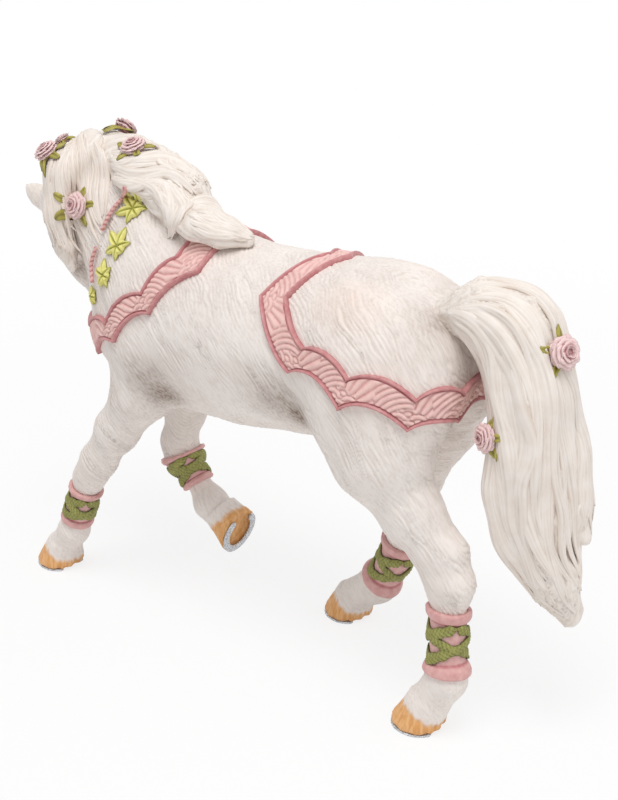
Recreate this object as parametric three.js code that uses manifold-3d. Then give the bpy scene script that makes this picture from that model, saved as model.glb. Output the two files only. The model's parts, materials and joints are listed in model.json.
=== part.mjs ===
// Toy horse figure, moulded and painted: millimetres, X to the nose, Y to the horse's left, Z up.
import * as THREE from "three";
import Module from "manifold-3d";

const wasm = await Module();
wasm.setup();

// Clearances
const SEAT = 0.22; // between a piece and what it lies on
const BAND_SEAT = 0.3; // the same under the wide bands
const CUT = 0.3; // width of the line between two moulded pieces

// Trim
const BAND_RIM = 1.25;
const BAND_PANEL = 0.8;
const WRAP_WALL = 0.65;
const WRAP_BEAD = 1.2;
const VINE_WIDTH = 1.7;
const VINE_WALL = 0.7;
const ROSE_RADIUS = 2.5;
const ROSE_HEIGHT = 2.6;
const SEPAL_REACH = 4.0;
const SEPAL_WALL = 0.55;
const LEAF_WALL = 0.8;
const BEAD_RADIUS = 0.62;
const BEAD_PITCH = 1.5;

// Feet
const HOOF_HEIGHT = 5.6;
const HOOF_LENGTH = 11.2;
const HOOF_WIDTH = 10.2;
const SHOE_WALL = 0.55;
const SHOE_WEB = 1.7;
const SHOE_INSET = 0.05;

// Mesh fineness
const BODY_STEP = 3.6;
const HEAD_STEP = 2.4;
const LEG_SIDES = 14;
const LEG_RINGS = 15;
const HAIR_FINENESS = {
  plain: { stops: 9, sides: 10 },
  mane_crest: { stops: 14, sides: 20 },
  tail_main: { stops: 22, sides: 32 },
};
const WELD = 0.002; // shorter edges are closed up

const PAINT = {
  coat: { color: 0xf1ece6, roughness: 0.62, metalness: 0 },
  hair: { color: 0xf5efe6, roughness: 0.6, metalness: 0 },
  pink: { color: 0xd99a9c, roughness: 0.55, metalness: 0 },
  rose: { color: 0xcf9aa6, roughness: 0.5, metalness: 0 },
  leaf: { color: 0xa9b43f, roughness: 0.55, metalness: 0 },
  vine: { color: 0x7f8f38, roughness: 0.55, metalness: 0 },
  horn: { color: 0xe0ab6c, roughness: 0.55, metalness: 0 },
  silver: { color: 0xb9bcc2, roughness: 0.35, metalness: 0.85 },
};

// Stations of the trunk: x, y, z, half height, half width
const TRUNK = [
  [-37, 0, 69.3, 8.3, 8.5],
  [-31, 0, 68.5, 12.7, 13],
  [-22, 0, 67.8, 15.8, 14.8],
  [-8, 0, 66, 16.3, 15.6],
  [6, 0, 64.8, 16.9, 16.2],
  [18, 0, 65.1, 17.4, 15.2],
  [29, 0, 66, 17, 12.8],
  [35, 0, 65.3, 12, 9.5],
  [39, 0, 61.3, 7.8, 7],
];
const NECK = [
  [24, 0, 73, 12.4, 10],
  [34, 0, 77, 14.4, 9.5],
  [42, -0.5, 81.5, 12, 8.5],
  [50, -1.5, 84.5, 10, 7.5],
  [56.5, -2.2, 84.4, 8.3, 6.5],
];
// Muscle masses: centre, radii, pitch in degrees
const MUSCLES = [
  [[-27, 8, 69.5], [14, 8, 12.2], 0],
  [[-27, -8, 69.5], [14, 8, 12.2], 0],
  [[-30.5, 11, 58], [10.5, 6.5, 12], 0],
  [[-27, -10.5, 57], [12, 6.5, 12.5], 0],
  [[-36.5, 8, 65.5], [9.5, 6.5, 11.5], -12],
  [[-36.5, -8, 65.5], [9.5, 6.5, 11.5], -12],
  [[27, 8.5, 65], [9, 6, 15], 20],
  [[27, -8.5, 65], [9, 6, 15], 20],
  [[36.4, 4.2, 60], [7, 6.2, 9], 0],
  [[36.4, -4.2, 60], [7, 6.2, 9], 0],
  [[14, 0, 77.5], [14, 4.5, 4.6], 0],
];

// Legs from the hip or shoulder to the pastern: x, y, z, half depth, half width
const LEGS = {
  lh: {
    joints: [
      [-29, 9.5, 62, 11, 7.5],
      [-33.5, 11, 51.5, 9, 6.5],
      [-39.6, 10, 42.5, 6.1, 4.8],
      [-46, 9.4, 36, 5.1, 4],
      [-48.2, 9.6, 31, 4.5, 3.7],
      [-48.8, 10.5, 20.5, 2.3, 2.1],
      [-49.4, 11.3, 12, 3.5, 3.3],
      [-46, 11.5, 6, 3.9, 4],
    ],
    cut: { at: [-34, 11, 50.2], down: [-0.5, 0, -0.87] },
    hoof: { at: [-43.8, 11.5, 0], toe: [1, 0.2, 0], up: [0, 0, 1] },
    wrap: [0.575, 0.83],
  },
  rh: {
    joints: [
      [-26, -9.5, 62, 11.5, 7.5],
      [-27, -10.5, 51.5, 11.2, 6.5],
      [-25, -10.5, 41, 7.4, 5],
      [-25.6, -10, 32.5, 4.9, 4],
      [-25, -10, 28, 4.2, 3.5],
      [-21.4, -11, 18.5, 2.2, 2.1],
      [-16.5, -12.3, 10.8, 3.6, 3.4],
      [-10.6, -13.2, 6, 3.6, 3.7],
    ],
    cut: { at: [-26.3, -10.5, 47.4], down: [0.05, 0, -1] },
    hoof: { at: [-8, -13.6, 0], toe: [1, -0.1, 0], up: [0, 0, 1] },
    wrap: [0.5, 0.78],
  },
  lf: {
    joints: [
      [26.5, 9.5, 60, 8, 6],
      [29.4, 10, 49, 6, 5.2],
      [36.7, 10, 39, 4.5, 4.1],
      [43.2, 9.8, 30, 3.6, 3.6],
      [46, 10, 25.5, 3.2, 3.2],
      [49, 10.3, 17.5, 2, 2],
      [52, 10, 10.8, 3.1, 3.1],
      [55.4, 9.6, 6.5, 3.3, 3.4],
    ],
    cut: { at: [31.5, 10, 46.8], down: [0.4, 0, -0.92] },
    hoof: { at: [58, 9.2, 0], toe: [1, 0, 0], up: [0, 0, 1] },
    wrap: [0.6, 0.8],
  },
  rf: {
    joints: [
      [26, -9.5, 60, 8.8, 6],
      [30.5, -9.8, 47, 6.6, 5.2],
      [35.8, -10.4, 37, 4.1, 4],
      [37.6, -10, 29.5, 3.7, 3.7],
      [36.6, -10, 26.3, 3.4, 3.3],
      [32.6, -10, 21.4, 2, 2],
      [28.3, -9.8, 17, 3.4, 3.3],
      [24.3, -9.6, 14.8, 3.4, 3.5],
    ],
    cut: { at: [31.4, -9.8, 45.4], down: [0.45, 0, -0.89] },
    hoof: { at: [19.4, -9.6, 12.6], toe: [0.3, 0, -1], up: [1, 0, 0.3] },
    wrap: [0.54, 0.77],
  },
};

// Head: it hangs from the poll, drawn in to the chest, and is turned and leant to the horse's right
const POLL = [61.2, -2.2, 84];
const HEAD_LENGTH = 33;
const HEAD_TURN = 37; // degrees
const HEAD_TUCK = 3;
const HEAD_LEAN = 21;
const HEAD_FORWARD = [cosine(HEAD_TURN), -sine(HEAD_TURN), 0];
const HEAD_ASIDE = [sine(HEAD_TURN), cosine(HEAD_TURN), 0];
const HEAD_OUT = plus(HEAD_FORWARD.map((v) => v * cosine(HEAD_TUCK)), [0, 0, 1], -sine(HEAD_TUCK));
const HEAD_HANG = plus(HEAD_FORWARD.map((v) => -v * sine(HEAD_TUCK)), [0, 0, 1], -cosine(HEAD_TUCK));
const HEAD_DOWN = plus(HEAD_HANG.map((v) => v * cosine(HEAD_LEAN)), HEAD_ASIDE, -sine(HEAD_LEAN));
const HEAD_LEFT = cross(HEAD_OUT, HEAD_DOWN);
// along the head, out of the forehead, half depth, half width
const SKULL = [
  [0.02, -2.5, 7.5, 6.3],
  [0.25, -1.5, 8, 6.8],
  [0.45, -0.5, 6.9, 6],
  [0.75, 0.3, 4.9, 4.1],
  [0.93, -0.3, 4.3, 3.9],
  [1, -0.8, 3.2, 3.2],
];
const EAR_HEIGHT = 8;
const EAR_RADIUS = 2.6;

// Hair: x, y, z, half thickness, half width
const HAIR = {
  mane_crest: {
    joints: [
      [50, -1.5, 96.2, 3, 5],
      [41.5, -0.5, 95.5, 3.4, 5.5],
      [32, 1.5, 93.4, 3.8, 6],
      [23.5, 2.5, 90.6, 4, 6],
      [17.5, 4, 87, 3.2, 5],
    ],
    side: [0, 1, -0.45],
  },
  mane_withers_lock: {
    joints: [
      [20, 7, 88.2, 2.3, 3.1],
      [15, 6.8, 87.2, 2.6, 3.4],
      [10, 5, 85.8, 2.1, 3],
      [5.5, 2.5, 84.8, 1.2, 1.7],
    ],
    side: [0, 1, -0.5],
  },
  mane_left_fall: {
    joints: [
      [49, 1.5, 97.5, 2.8, 5.5],
      [53.4, 6.5, 92.2, 2.7, 5.8],
      [52.8, 8.5, 82.5, 2.4, 5.2],
      [50.5, 9, 76.5, 1.9, 3.6],
      [49, 9, 72.5, 1.2, 2],
    ],
    side: [1, -0.6, 0],
  },
  mane_right_fall: {
    joints: [
      [40, -4, 93, 3, 7],
      [38, -9.5, 87, 2.8, 8],
      [36, -12, 80, 2.5, 7],
      [35, -13, 73, 1.7, 4.5],
    ],
    side: [1, 0, 0.1],
  },
  forelock: {
    joints: [
      [57, -2, 93.8, 2.6, 3.4],
      [62.6, -4.6, 90.2, 2.5, 3.8],
      [65.8, -6.4, 83.6, 2.1, 3.4],
      [65.2, -8.4, 77, 1.8, 2.6],
      [63.6, -9.9, 71.8, 1.2, 1.6],
    ],
    side: [0.6, 0.8, 0],
  },
  tail_main: {
    joints: [
      [-38.5, 0, 77.5, 3.6, 4],
      [-45.5, -0.5, 80, 4.9, 5.6],
      [-53.5, -1, 78.5, 5.8, 6.8],
      [-57.5, -0.5, 68, 5.6, 7.4],
      [-58.7, 0, 56, 5.6, 7.4],
      [-60.3, 0, 45, 5.3, 6.4],
      [-63.8, -1, 33.5, 4, 4.6],
      [-67, -2.8, 25.5, 2, 2.6],
    ],
    side: [0, 1, 0],
  },
  tail_lock_outer: {
    joints: [
      [-60, -4, 66, 3, 4.4],
      [-62.3, -4.6, 56, 3.4, 4.2],
      [-64.6, -5, 47, 2.7, 3.2],
      [-67, -5.2, 40.5, 1.4, 1.6],
    ],
    side: [0, 1, 0],
  },
  tail_lock_inner: {
    joints: [
      [-55, 4, 62, 2.6, 3.4],
      [-55.2, 4.6, 51, 2.8, 3.6],
      [-57.5, 4.6, 41, 2.3, 2.8],
      [-60.5, 3.6, 34.5, 1.4, 1.6],
    ],
    side: [0, 1, 0],
  },
};

// Main locks on two of them: rows of points that they lie along, some mirrored across a plane
const LOCK_DEPTH = 0.4;
const LOCK_BLEND = 0.8;
const LOCKS = {
  mane_crest: {
    radius: 1.15,
    lines: [
      [
        [40.5, 4.5, 96],
        [35.5, 5.5, 95.5],
        [31.5, 5, 96.5],
        [29.5, 2.5, 97.5],
        [27.5, -1.5, 96.5],
        [23.5, -1.5, 95],
        [19.5, 0.5, 94],
        [18, 1, 92],
      ],
      [
        [39.5, 5, 95],
        [32, 7, 95],
        [28.5, 5, 95.5],
        [25.5, 3.5, 95.5],
        [21.5, 3, 94.5],
        [18.5, 2.5, 93],
        [17.5, 2, 91.5],
      ],
      [
        [39.5, 5.5, 92.5],
        [33, 8, 92.5],
        [29, 8, 92.5],
        [25, 7.5, 93],
        [22.5, 8, 91.5],
        [21, 9, 89.5],
        [21.5, 9, 86],
        [22.5, 9, 83],
      ],
    ],
    mirrored: 0,
    middle: 0,
  },
  tail_main: {
    radius: 1.25,
    lines: [
      [
        [-42, 2.5, 83.5],
        [-45, -1.5, 85.5],
        [-48.5, -3.5, 84.5],
        [-53.5, -4, 84.5],
        [-57, -5.5, 82],
        [-59, -5, 78],
        [-60.5, -5, 74],
        [-62.5, -7, 66],
        [-65, -7.5, 57.5],
        [-66, -7, 51.5],
        [-68, -6, 41],
      ],
      [
        [-43, 4.5, 82],
        [-47, 2.5, 85],
        [-50.5, -0.5, 85],
        [-56, 0, 84],
        [-59.5, -0.5, 81],
        [-61.5, -1, 77],
        [-63.5, -1, 69.5],
        [-64.5, -2.5, 61.5],
        [-66, -2, 55.5],
        [-66.5, -2, 48.5],
        [-68.5, -4.5, 41],
      ],
      [
        [-42.5, 5, 81],
        [-47.5, 4.5, 83.5],
        [-53, 4, 83.5],
        [-57.5, 4, 80.5],
        [-60.5, 3.5, 75],
        [-62.5, 3.5, 70],
        [-63.5, 3.5, 63.5],
        [-65, 2.5, 54],
        [-65.5, 3, 46.5],
        [-66.5, 2.5, 38],
        [-68, 0, 31],
        [-67.5, -4, 26],
      ],
      [
        [-42, 4.5, 80.5],
        [-47.5, 5, 82],
        [-52, 6, 81],
        [-56, 6, 78],
        [-58.5, 6, 73],
        [-60, 6.5, 68.5],
        [-62, 6, 61],
        [-61.5, 7.5, 55],
        [-61, 7, 49],
        [-62.5, 6.5, 43.5],
        [-65, 4, 36.5],
        [-68, -0.5, 29],
      ],
      [
        [-41.5, 4.5, 80.5],
        [-46.5, 5.5, 81.5],
        [-50.5, 6, 79],
        [-52.5, 6.5, 75],
        [-54, 6.5, 70],
        [-56, 7, 65],
        [-57.5, 8, 58],
        [-57, 8, 52],
        [-57.5, 7.5, 46],
        [-60, 6, 40.5],
        [-63.5, 4, 33.5],
        [-67, 0, 27],
      ],
      [
        [-40.5, 4, 80],
        [-46, 5.5, 80.5],
        [-48, 5.5, 78],
        [-50, 4, 72],
        [-52, 4, 66.5],
        [-54, 6, 61],
        [-52.8, 7, 54.5],
        [-53.7, 7.5, 49],
        [-55, 6.5, 43],
        [-58.5, 5.5, 36.5],
        [-62.5, 2.5, 30],
        [-67, -1, 25],
      ],
    ],
    mirrored: 3,
    middle: -0.8,
  },
};

// Scalloped bands on the left half: edge points from the spine to the middle of the chest or rump
const COLLAR = {
  upper: [
    { at: [15.5, 0, 87] },
    { at: [17.4, 11, 81.3], bulge: 0.4 },
    { at: [22.6, 15.1, 73.8], bulge: 1.5 },
    { at: [32.4, 15.5, 65.6], bulge: 2 },
    { at: [42.5, 8.5, 61.5], bulge: 1.8 },
    { at: [45.7, 0, 62], bulge: 1.2 },
  ],
  lower: [
    { at: [9.5, 0, 86] },
    { at: [10.5, 12, 79.5], bulge: 0.4 },
    { at: [19.4, 16.3, 70], bulge: 1.5 },
    { at: [28.7, 16.8, 62.4], bulge: 2 },
    { at: [41.5, 9.5, 54.8], bulge: 1.8 },
    { at: [45.2, 0, 55.5], bulge: 1.2 },
  ],
  lift: [0.25, 0, 1],
};
const CRUPPER = {
  upper: [
    { at: [-17.5, 0, 86] },
    { at: [-12.2, 12.6, 79.3], bulge: -0.6 },
    { at: [-20, 16.9, 72.6], bulge: -1 },
    { at: [-30.5, 17.6, 69.4], bulge: 1.9 },
    { at: [-42.4, 13.9, 67.4], bulge: 2.2 },
    { at: [-47, 6.5, 67.6], bulge: 1.8 },
    { at: [-47, 0, 69], bulge: 0.3 },
  ],
  lower: [
    { at: [-12.3, 0, 85.6] },
    { at: [-5.9, 13, 78.3], bulge: -0.6 },
    { at: [-16.5, 16.9, 66.8], bulge: -1.6 },
    { at: [-29.4, 18.8, 63.3], bulge: 2.6 },
    { at: [-40.9, 14.6, 61.2], bulge: 2.6 },
    { at: [-46.5, 7, 61.4], bulge: 1.8 },
    { at: [-46.5, 0, 62.8], bulge: 0.3 },
  ],
  lift: [0, 0, 1],
};
const BAND_SPANS = 4;

// Small trim: where it lies, near enough, and its size or the way it points
const ROSES = [
  { at: [54.5, 8, 95], size: 1.1 },
  { at: [45.6, 8.3, 86], size: 1.15 },
  { at: [47.5, -5, 98], size: 1.1 },
  { at: [35.4, 2.2, 97.2], size: 1.1 },
  { at: [59.8, -0.8, 95.5], size: 0.8 },
  { at: [-62, -0.5, 76.2], size: 1.25 },
  { at: [-53.8, 7.8, 61], size: 1.1 },
];
const LEAVES = [
  { at: [31, 7.9, 87.6], turn: 140, reach: 5.2 },
  { at: [31.2, 12.2, 80.9], turn: 150, reach: 4.9 },
  { at: [33.8, 13.8, 74.8], turn: 175, reach: 4.2 },
  { at: [38.8, 12.6, 69.1], turn: 185, reach: 2.9 },
];
const CORDS = {
  cord_upper: [
    [32.4, 7.8, 92.4],
    [35.4, 8.3, 87.3],
    [37, 10.4, 82.7],
  ],
  cord_lower: [
    [37.9, 11.1, 79.2],
    [38.9, 11.5, 75.5],
    [37.9, 12.5, 72.2],
  ],
};

// Arithmetic on degrees and plain triples
function sine(degrees) {
  return Math.sin((degrees * Math.PI) / 180);
}
function cosine(degrees) {
  return Math.cos((degrees * Math.PI) / 180);
}
function plus(a, b, k = 1) {
  return [a[0] + b[0] * k, a[1] + b[1] * k, a[2] + b[2] * k];
}
function dot(a, b) {
  return a[0] * b[0] + a[1] * b[1] + a[2] * b[2];
}
function cross(a, b) {
  return [
    a[1] * b[2] - a[2] * b[1],
    a[2] * b[0] - a[0] * b[2],
    a[0] * b[1] - a[1] * b[0],
  ];
}
function unit(a) {
  const m = Math.hypot(a[0], a[1], a[2]);
  return [a[0] / m, a[1] / m, a[2] / m];
}
function mix(a, b, t) {
  return a.map((value, i) => value + (b[i] - value) * t);
}

// A signed distance, near enough, from a swollen line of elliptical stations
function blended(a, b, k) {
  const h = Math.max(k - Math.abs(a - b), 0) / k;
  return Math.min(a, b) - (h * h * k) / 4;
}
function limbField(stations, blend, lateral = [0, 1, 0]) {
  const spans = [];
  for (let i = 0; i + 1 < stations.length; i += 1) {
    const a = stations[i];
    const b = stations[i + 1];
    const along = plus(b, a, -1);
    const length = Math.hypot(along[0], along[1], along[2]);
    const w = unit(along);
    const v = unit(plus(lateral, w, -dot(lateral, w)));
    spans.push({ a, b, w, v, u: cross(v, w), length });
  }
  return (p) => {
    let d = Infinity;
    for (const s of spans) {
      const q = plus(p, s.a, -1);
      const t = Math.min(Math.max(dot(q, s.w) / s.length, 0), 1);
      const deep = s.a[3] + (s.b[3] - s.a[3]) * t;
      const wide = s.a[4] + (s.b[4] - s.a[4]) * t;
      const qu = dot(q, s.u);
      const qv = dot(q, s.v);
      const qw = dot(q, s.w) - t * s.length;
      const k = Math.hypot(qu / deep, qv / wide, qw / Math.min(deep, wide)) + 1e-9;
      const value = (Math.hypot(qu, qv, qw) + 1e-9) * (1 - 1 / k);
      d = d === Infinity ? value : blended(d, value, blend);
    }
    return d;
  };
}
function massField([centre, radii, pitch]) {
  const c = Math.cos((pitch * Math.PI) / 180);
  const s = Math.sin((pitch * Math.PI) / 180);
  return (p) => {
    const q = plus(p, centre, -1);
    const x = q[0] * c - q[2] * s;
    const z = q[0] * s + q[2] * c;
    const k = Math.hypot(x / radii[0], q[1] / radii[1], z / radii[2]) + 1e-9;
    return Math.hypot(x, q[1], z) * (1 - 1 / k);
  };
}
function blendAll(fields, k) {
  return (p) => fields.map((f) => f(p)).reduce((a, b) => blended(a, b, k));
}
function nearest(fields) {
  return (p) => Math.min(...fields.map((f) => f(p)));
}

const trunkField = (() => {
  const trunk = blendAll([limbField(TRUNK, 6), ...MUSCLES.map(massField)], 6);
  const neck = limbField(NECK, 6);
  return (p) => blended(trunk(p), neck(p), 7);
})();
const headField = (() => {
  const skull = SKULL.map(([s, out, deep, wide]) => [
    ...headPoint(s * HEAD_LENGTH, 0, out),
    deep,
    wide,
  ]);
  const cheeks = [1, -1].map((side) => [
    headPoint(0.2 * HEAD_LENGTH, 3.2 * side, -6.2),
    [5.2, 2.6, 5],
    0,
  ]);
  return blendAll([limbField(skull, 3, HEAD_LEFT), ...cheeks.map(massField)], 2.5);
})();
const legFields = Object.values(LEGS).map((leg) => limbField(leg.joints, 2.5));
const coatField = (p) => {
  const along = dot(plus(p, POLL, -1), HEAD_DOWN);
  const blend = Math.min(Math.max(4 - (along - 8) * 0.45, 0.5), 4);
  let d = blended(trunkField(p), headField(p), blend);
  for (const leg of legFields) {
    d = blended(d, leg(p), 5);
  }
  return d;
};
const hairFields = Object.fromEntries(
  Object.entries(HAIR).map(([name, hair]) => {
    const core = limbField(hair.joints, 3, hair.side);
    return [name, LOCKS[name] ? blendAll([core, ...lockFields(core, LOCKS[name])], LOCK_BLEND) : core];
  }),
);
const outerField = nearest([coatField, ...Object.values(hairFields)]);

function lockFields(core, locks) {
  const far = locks.lines
    .slice(locks.lines.length - locks.mirrored)
    .map((line) => line.map(([x, y, z]) => [x, 2 * locks.middle - y, z]));
  return [...locks.lines, ...far].map((line) => {
    const stations = line.map((p, i) => {
      const end = i === 0 || i === line.length - 1;
      const radius = locks.radius * (end ? 0.5 : 1);
      return [...settle(core, p, -LOCK_DEPTH), radius, radius];
    });
    return near(limbField(stations, 0.5), line, 6);
  });
}
function near(field, points, margin) {
  const box = new THREE.Box3().setFromPoints(points.map((p) => new THREE.Vector3(...p)));
  box.expandByScalar(margin);
  const probe = new THREE.Vector3();
  return (p) => (box.containsPoint(probe.set(...p)) ? field(p) : margin);
}
function headPoint(along, left, out) {
  return plus(plus(plus(POLL, HEAD_DOWN, along), HEAD_LEFT, left), HEAD_OUT, out);
}

// Geometry from rows of points
function closedGeometry(points, triangles) {
  const geometry = new THREE.BufferGeometry();
  geometry.setAttribute("position", new THREE.Float32BufferAttribute(points.flat(), 3));
  geometry.setIndex(triangles);
  return geometry;
}
function ringBody(rings, closed = false) {
  const sides = rings[0].length;
  const points = rings.flat();
  const triangles = [];
  const spans = closed ? rings.length : rings.length - 1;
  for (let i = 0; i < spans; i += 1) {
    const here = i * sides;
    const next = ((i + 1) % rings.length) * sides;
    for (let j = 0; j < sides; j += 1) {
      const k = (j + 1) % sides;
      triangles.push(here + j, here + k, next + k);
      triangles.push(here + j, next + k, next + j);
    }
  }
  if (!closed) {
    const last = (rings.length - 1) * sides;
    const start = points.length;
    points.push(middle(rings[0]));
    points.push(middle(rings[rings.length - 1]));
    for (let j = 0; j < sides; j += 1) {
      const k = (j + 1) % sides;
      triangles.push(start, k, j);
      triangles.push(start + 1, last + j, last + k);
    }
  }
  return outward(points, triangles);
}
function middle(ring) {
  const sum = ring.reduce((a, b) => plus(a, b), [0, 0, 0]);
  return sum.map((value) => value / ring.length);
}
function outward(points, triangles) {
  let volume = 0;
  for (let i = 0; i < triangles.length; i += 3) {
    const [a, b, c] = [0, 1, 2].map((k) => points[triangles[i + k]]);
    volume += dot(a, cross(b, c));
  }
  const turned = [];
  for (let i = 0; i < triangles.length; i += 3) {
    const [a, b, c] = triangles.slice(i, i + 3);
    turned.push(...(volume > 0 ? [a, b, c] : [a, c, b]));
  }
  return closedGeometry(points, turned);
}
function solid(geometry) {
  return new wasm.Manifold(
    new wasm.Mesh({
      numProp: 3,
      vertProperties: geometry.attributes.position.array,
      triVerts: new Uint32Array(geometry.index.array),
    }),
  );
}
function geometryOf(manifold) {
  const mesh = manifold.getMesh();
  const points = [];
  for (let i = 0; i < mesh.vertProperties.length; i += 3) {
    points.push(Array.from(mesh.vertProperties.slice(i, i + 3)));
  }
  return weldShortEdges(points, Array.from(mesh.triVerts));
}
function weldShortEdges(points, triangles) {
  const same = points.map((_, i) => i);
  const root = (i) => {
    while (same[i] !== i) i = same[i];
    return i;
  };
  for (let i = 0; i < triangles.length; i += 1) {
    const a = root(triangles[i]);
    const b = root(triangles[i % 3 === 2 ? i - 2 : i + 1]);
    const gap = plus(points[a], points[b], -1);
    if (a !== b && dot(gap, gap) < WELD * WELD) same[Math.max(a, b)] = Math.min(a, b);
  }
  const order = new Map();
  const kept = [];
  const faces = [];
  for (let i = 0; i < triangles.length; i += 3) {
    const face = triangles.slice(i, i + 3).map(root);
    if (new Set(face).size < 3) continue;
    for (const corner of face) {
      if (!order.has(corner)) {
        order.set(corner, kept.length);
        kept.push(points[corner]);
      }
      faces.push(order.get(corner));
    }
  }
  return closedGeometry(kept, faces);
}
function largest(manifold) {
  const parts = manifold.decompose();
  return parts.reduce((a, b) => (a.volume() > b.volume() ? a : b));
}

// Points on a field's surface
function reach(field, from, way, far, level) {
  const steps = 20;
  let inside = 0;
  for (let i = 1; i <= steps; i += 1) {
    const outside = (far * i) / steps;
    if (field(plus(from, way, outside)) > level) {
      return crossing(field, from, way, inside, outside, level);
    }
    inside = outside;
  }
  return far;
}
function crossing(field, from, way, inside, outside, level) {
  let a = inside;
  let b = outside;
  for (let i = 0; i < 12; i += 1) {
    const m = (a + b) / 2;
    if (field(plus(from, way, m)) > level) {
      b = m;
    } else {
      a = m;
    }
  }
  return (a + b) / 2;
}
function gradient(field, p) {
  const e = 0.05;
  return [0, 1, 2].map((i) => {
    const step = [0, 0, 0];
    step[i] = e;
    return (field(plus(p, step)) - field(plus(p, step, -1))) / (2 * e);
  });
}
function settle(field, p, level) {
  let q = p;
  for (let i = 0; i < 5; i += 1) {
    const g = gradient(field, q);
    const size = Math.max(dot(g, g), 0.05);
    q = plus(q, g, (level - field(q)) / size);
  }
  return q;
}
function drop(field, from, way, level) {
  const far = 10.5;
  const steps = 42;
  let outside = 0;
  for (let i = 1; i <= steps; i += 1) {
    const inside = (far * i) / steps;
    if (field(plus(from, way, inside)) < level) {
      return plus(from, way, crossing((q) => -field(q), from, way, outside, inside, -level));
    }
    outside = inside;
  }
  return plus(from, way, far);
}

// A loft whose ring points lie on a field's surface
function skinRings(field, stops, sides, level = 0) {
  return stops.map((stop) => {
    const v = unit(plus(stop.side, stop.way, -dot(stop.side, stop.way)));
    const u = cross(v, stop.way);
    const ring = [];
    for (let j = 0; j < sides; j += 1) {
      const angle = (2 * Math.PI * j) / sides;
      const way = plus(
        u.map((value) => value * Math.cos(angle)),
        v,
        Math.sin(angle),
      );
      ring.push(plus(stop.at, way, reach(field, stop.at, way, stop.far, level)));
    }
    return ring;
  });
}
function curveStops(points, count, side, far, firstWay, lastWay) {
  const curve = new THREE.CatmullRomCurve3(
    points.map((p) => new THREE.Vector3(p[0], p[1], p[2])),
    false,
    "centripetal",
  );
  const stops = [];
  for (let i = 0; i < count; i += 1) {
    const t = i / (count - 1);
    const at = curve.getPointAt(t).toArray();
    let way = curve.getTangentAt(t).toArray();
    if (firstWay && t < 0.2) way = unit(mix(firstWay, way, t / 0.2));
    if (lastWay && t > 0.86) way = unit(mix(way, lastWay, (t - 0.86) / 0.14));
    stops.push({ at, way, side, far });
  }
  return stops;
}

// Where the corners of a grid square are in and out by turns, the least of them changes side
function settleSquares(values, n, index) {
  const strides = [n[1] * n[2], n[2], 1];
  let changed = true;
  for (let pass = 0; changed && pass < 8; pass += 1) {
    changed = false;
    for (let axis = 0; axis < 3; axis += 1) {
      const s = strides[(axis + 1) % 3];
      const t = strides[(axis + 2) % 3];
      for (let i = 0; i + 1 < n[0]; i += 1) {
        for (let j = 0; j + 1 < n[1]; j += 1) {
          for (let k = 0; k + 1 < n[2]; k += 1) {
            const at = index(i, j, k);
            const square = [at, at + s, at + s + t, at + t];
            const inside = square.map((corner) => values[corner] < 0);
            if (inside[0] !== inside[2] || inside[1] !== inside[3] || inside[0] === inside[1]) continue;
            square.sort((a, b) => Math.abs(values[a]) - Math.abs(values[b]));
            values[square[0]] = values[square[0]] < 0 ? 1e-3 : -1e-3;
            changed = true;
          }
        }
      }
    }
  }
}

// A closed skin over a grid, each point settled on the field's surface
function gridSkin(field, low, high, step) {
  const n = low.map((value, i) => Math.ceil((high[i] - value) / step) + 1);
  const index = (i, j, k) => (i * n[1] + j) * n[2] + k;
  const at = (i, j, k) => [low[0] + i * step, low[1] + j * step, low[2] + k * step];
  const values = new Float32Array(n[0] * n[1] * n[2]);
  for (let i = 0; i < n[0]; i += 1) {
    for (let j = 0; j < n[1]; j += 1) {
      for (let k = 0; k < n[2]; k += 1) {
        values[index(i, j, k)] = field(at(i, j, k));
      }
    }
  }
  settleSquares(values, n, index);
  const sums = new Map();
  const quads = [];
  const axes = [
    [1, 0, 0],
    [0, 1, 0],
    [0, 0, 1],
  ];
  for (let i = 1; i + 1 < n[0]; i += 1) {
    for (let j = 1; j + 1 < n[1]; j += 1) {
      for (let k = 1; k + 1 < n[2]; k += 1) {
        for (let axis = 0; axis < 3; axis += 1) {
          const e = axes[axis];
          const a = values[index(i, j, k)];
          const b = values[index(i + e[0], j + e[1], k + e[2])];
          if (a < 0 === b < 0) continue;
          const p = plus(at(i, j, k), e, (a / (a - b)) * step);
          const s = axes[(axis + 1) % 3];
          const t = axes[(axis + 2) % 3];
          const cells = [
            [0, 0],
            [1, 0],
            [1, 1],
            [0, 1],
          ].map(([x, y]) =>
            index(i - s[0] * x - t[0] * y, j - s[1] * x - t[1] * y, k - s[2] * x - t[2] * y),
          );
          for (const cell of cells) {
            const sum = sums.get(cell) ?? { p: [0, 0, 0], count: 0 };
            sums.set(cell, { p: plus(sum.p, p), count: sum.count + 1 });
          }
          quads.push(a < 0 ? cells : cells.reverse());
        }
      }
    }
  }
  const order = new Map();
  const points = [];
  for (const [cell, sum] of sums) {
    order.set(cell, points.length);
    points.push(settle(field, sum.p.map((value) => value / sum.count), 0));
  }
  const triangles = [];
  for (const quad of quads) {
    const [a, b, c, d] = quad.map((cell) => order.get(cell));
    const ac = plus(points[a], points[c], -1);
    const bd = plus(points[b], points[d], -1);
    if (dot(ac, ac) < dot(bd, bd)) {
      triangles.push(a, b, c, a, c, d);
    } else {
      triangles.push(a, b, d, b, c, d);
    }
  }
  return outward(points, triangles);
}

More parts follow.
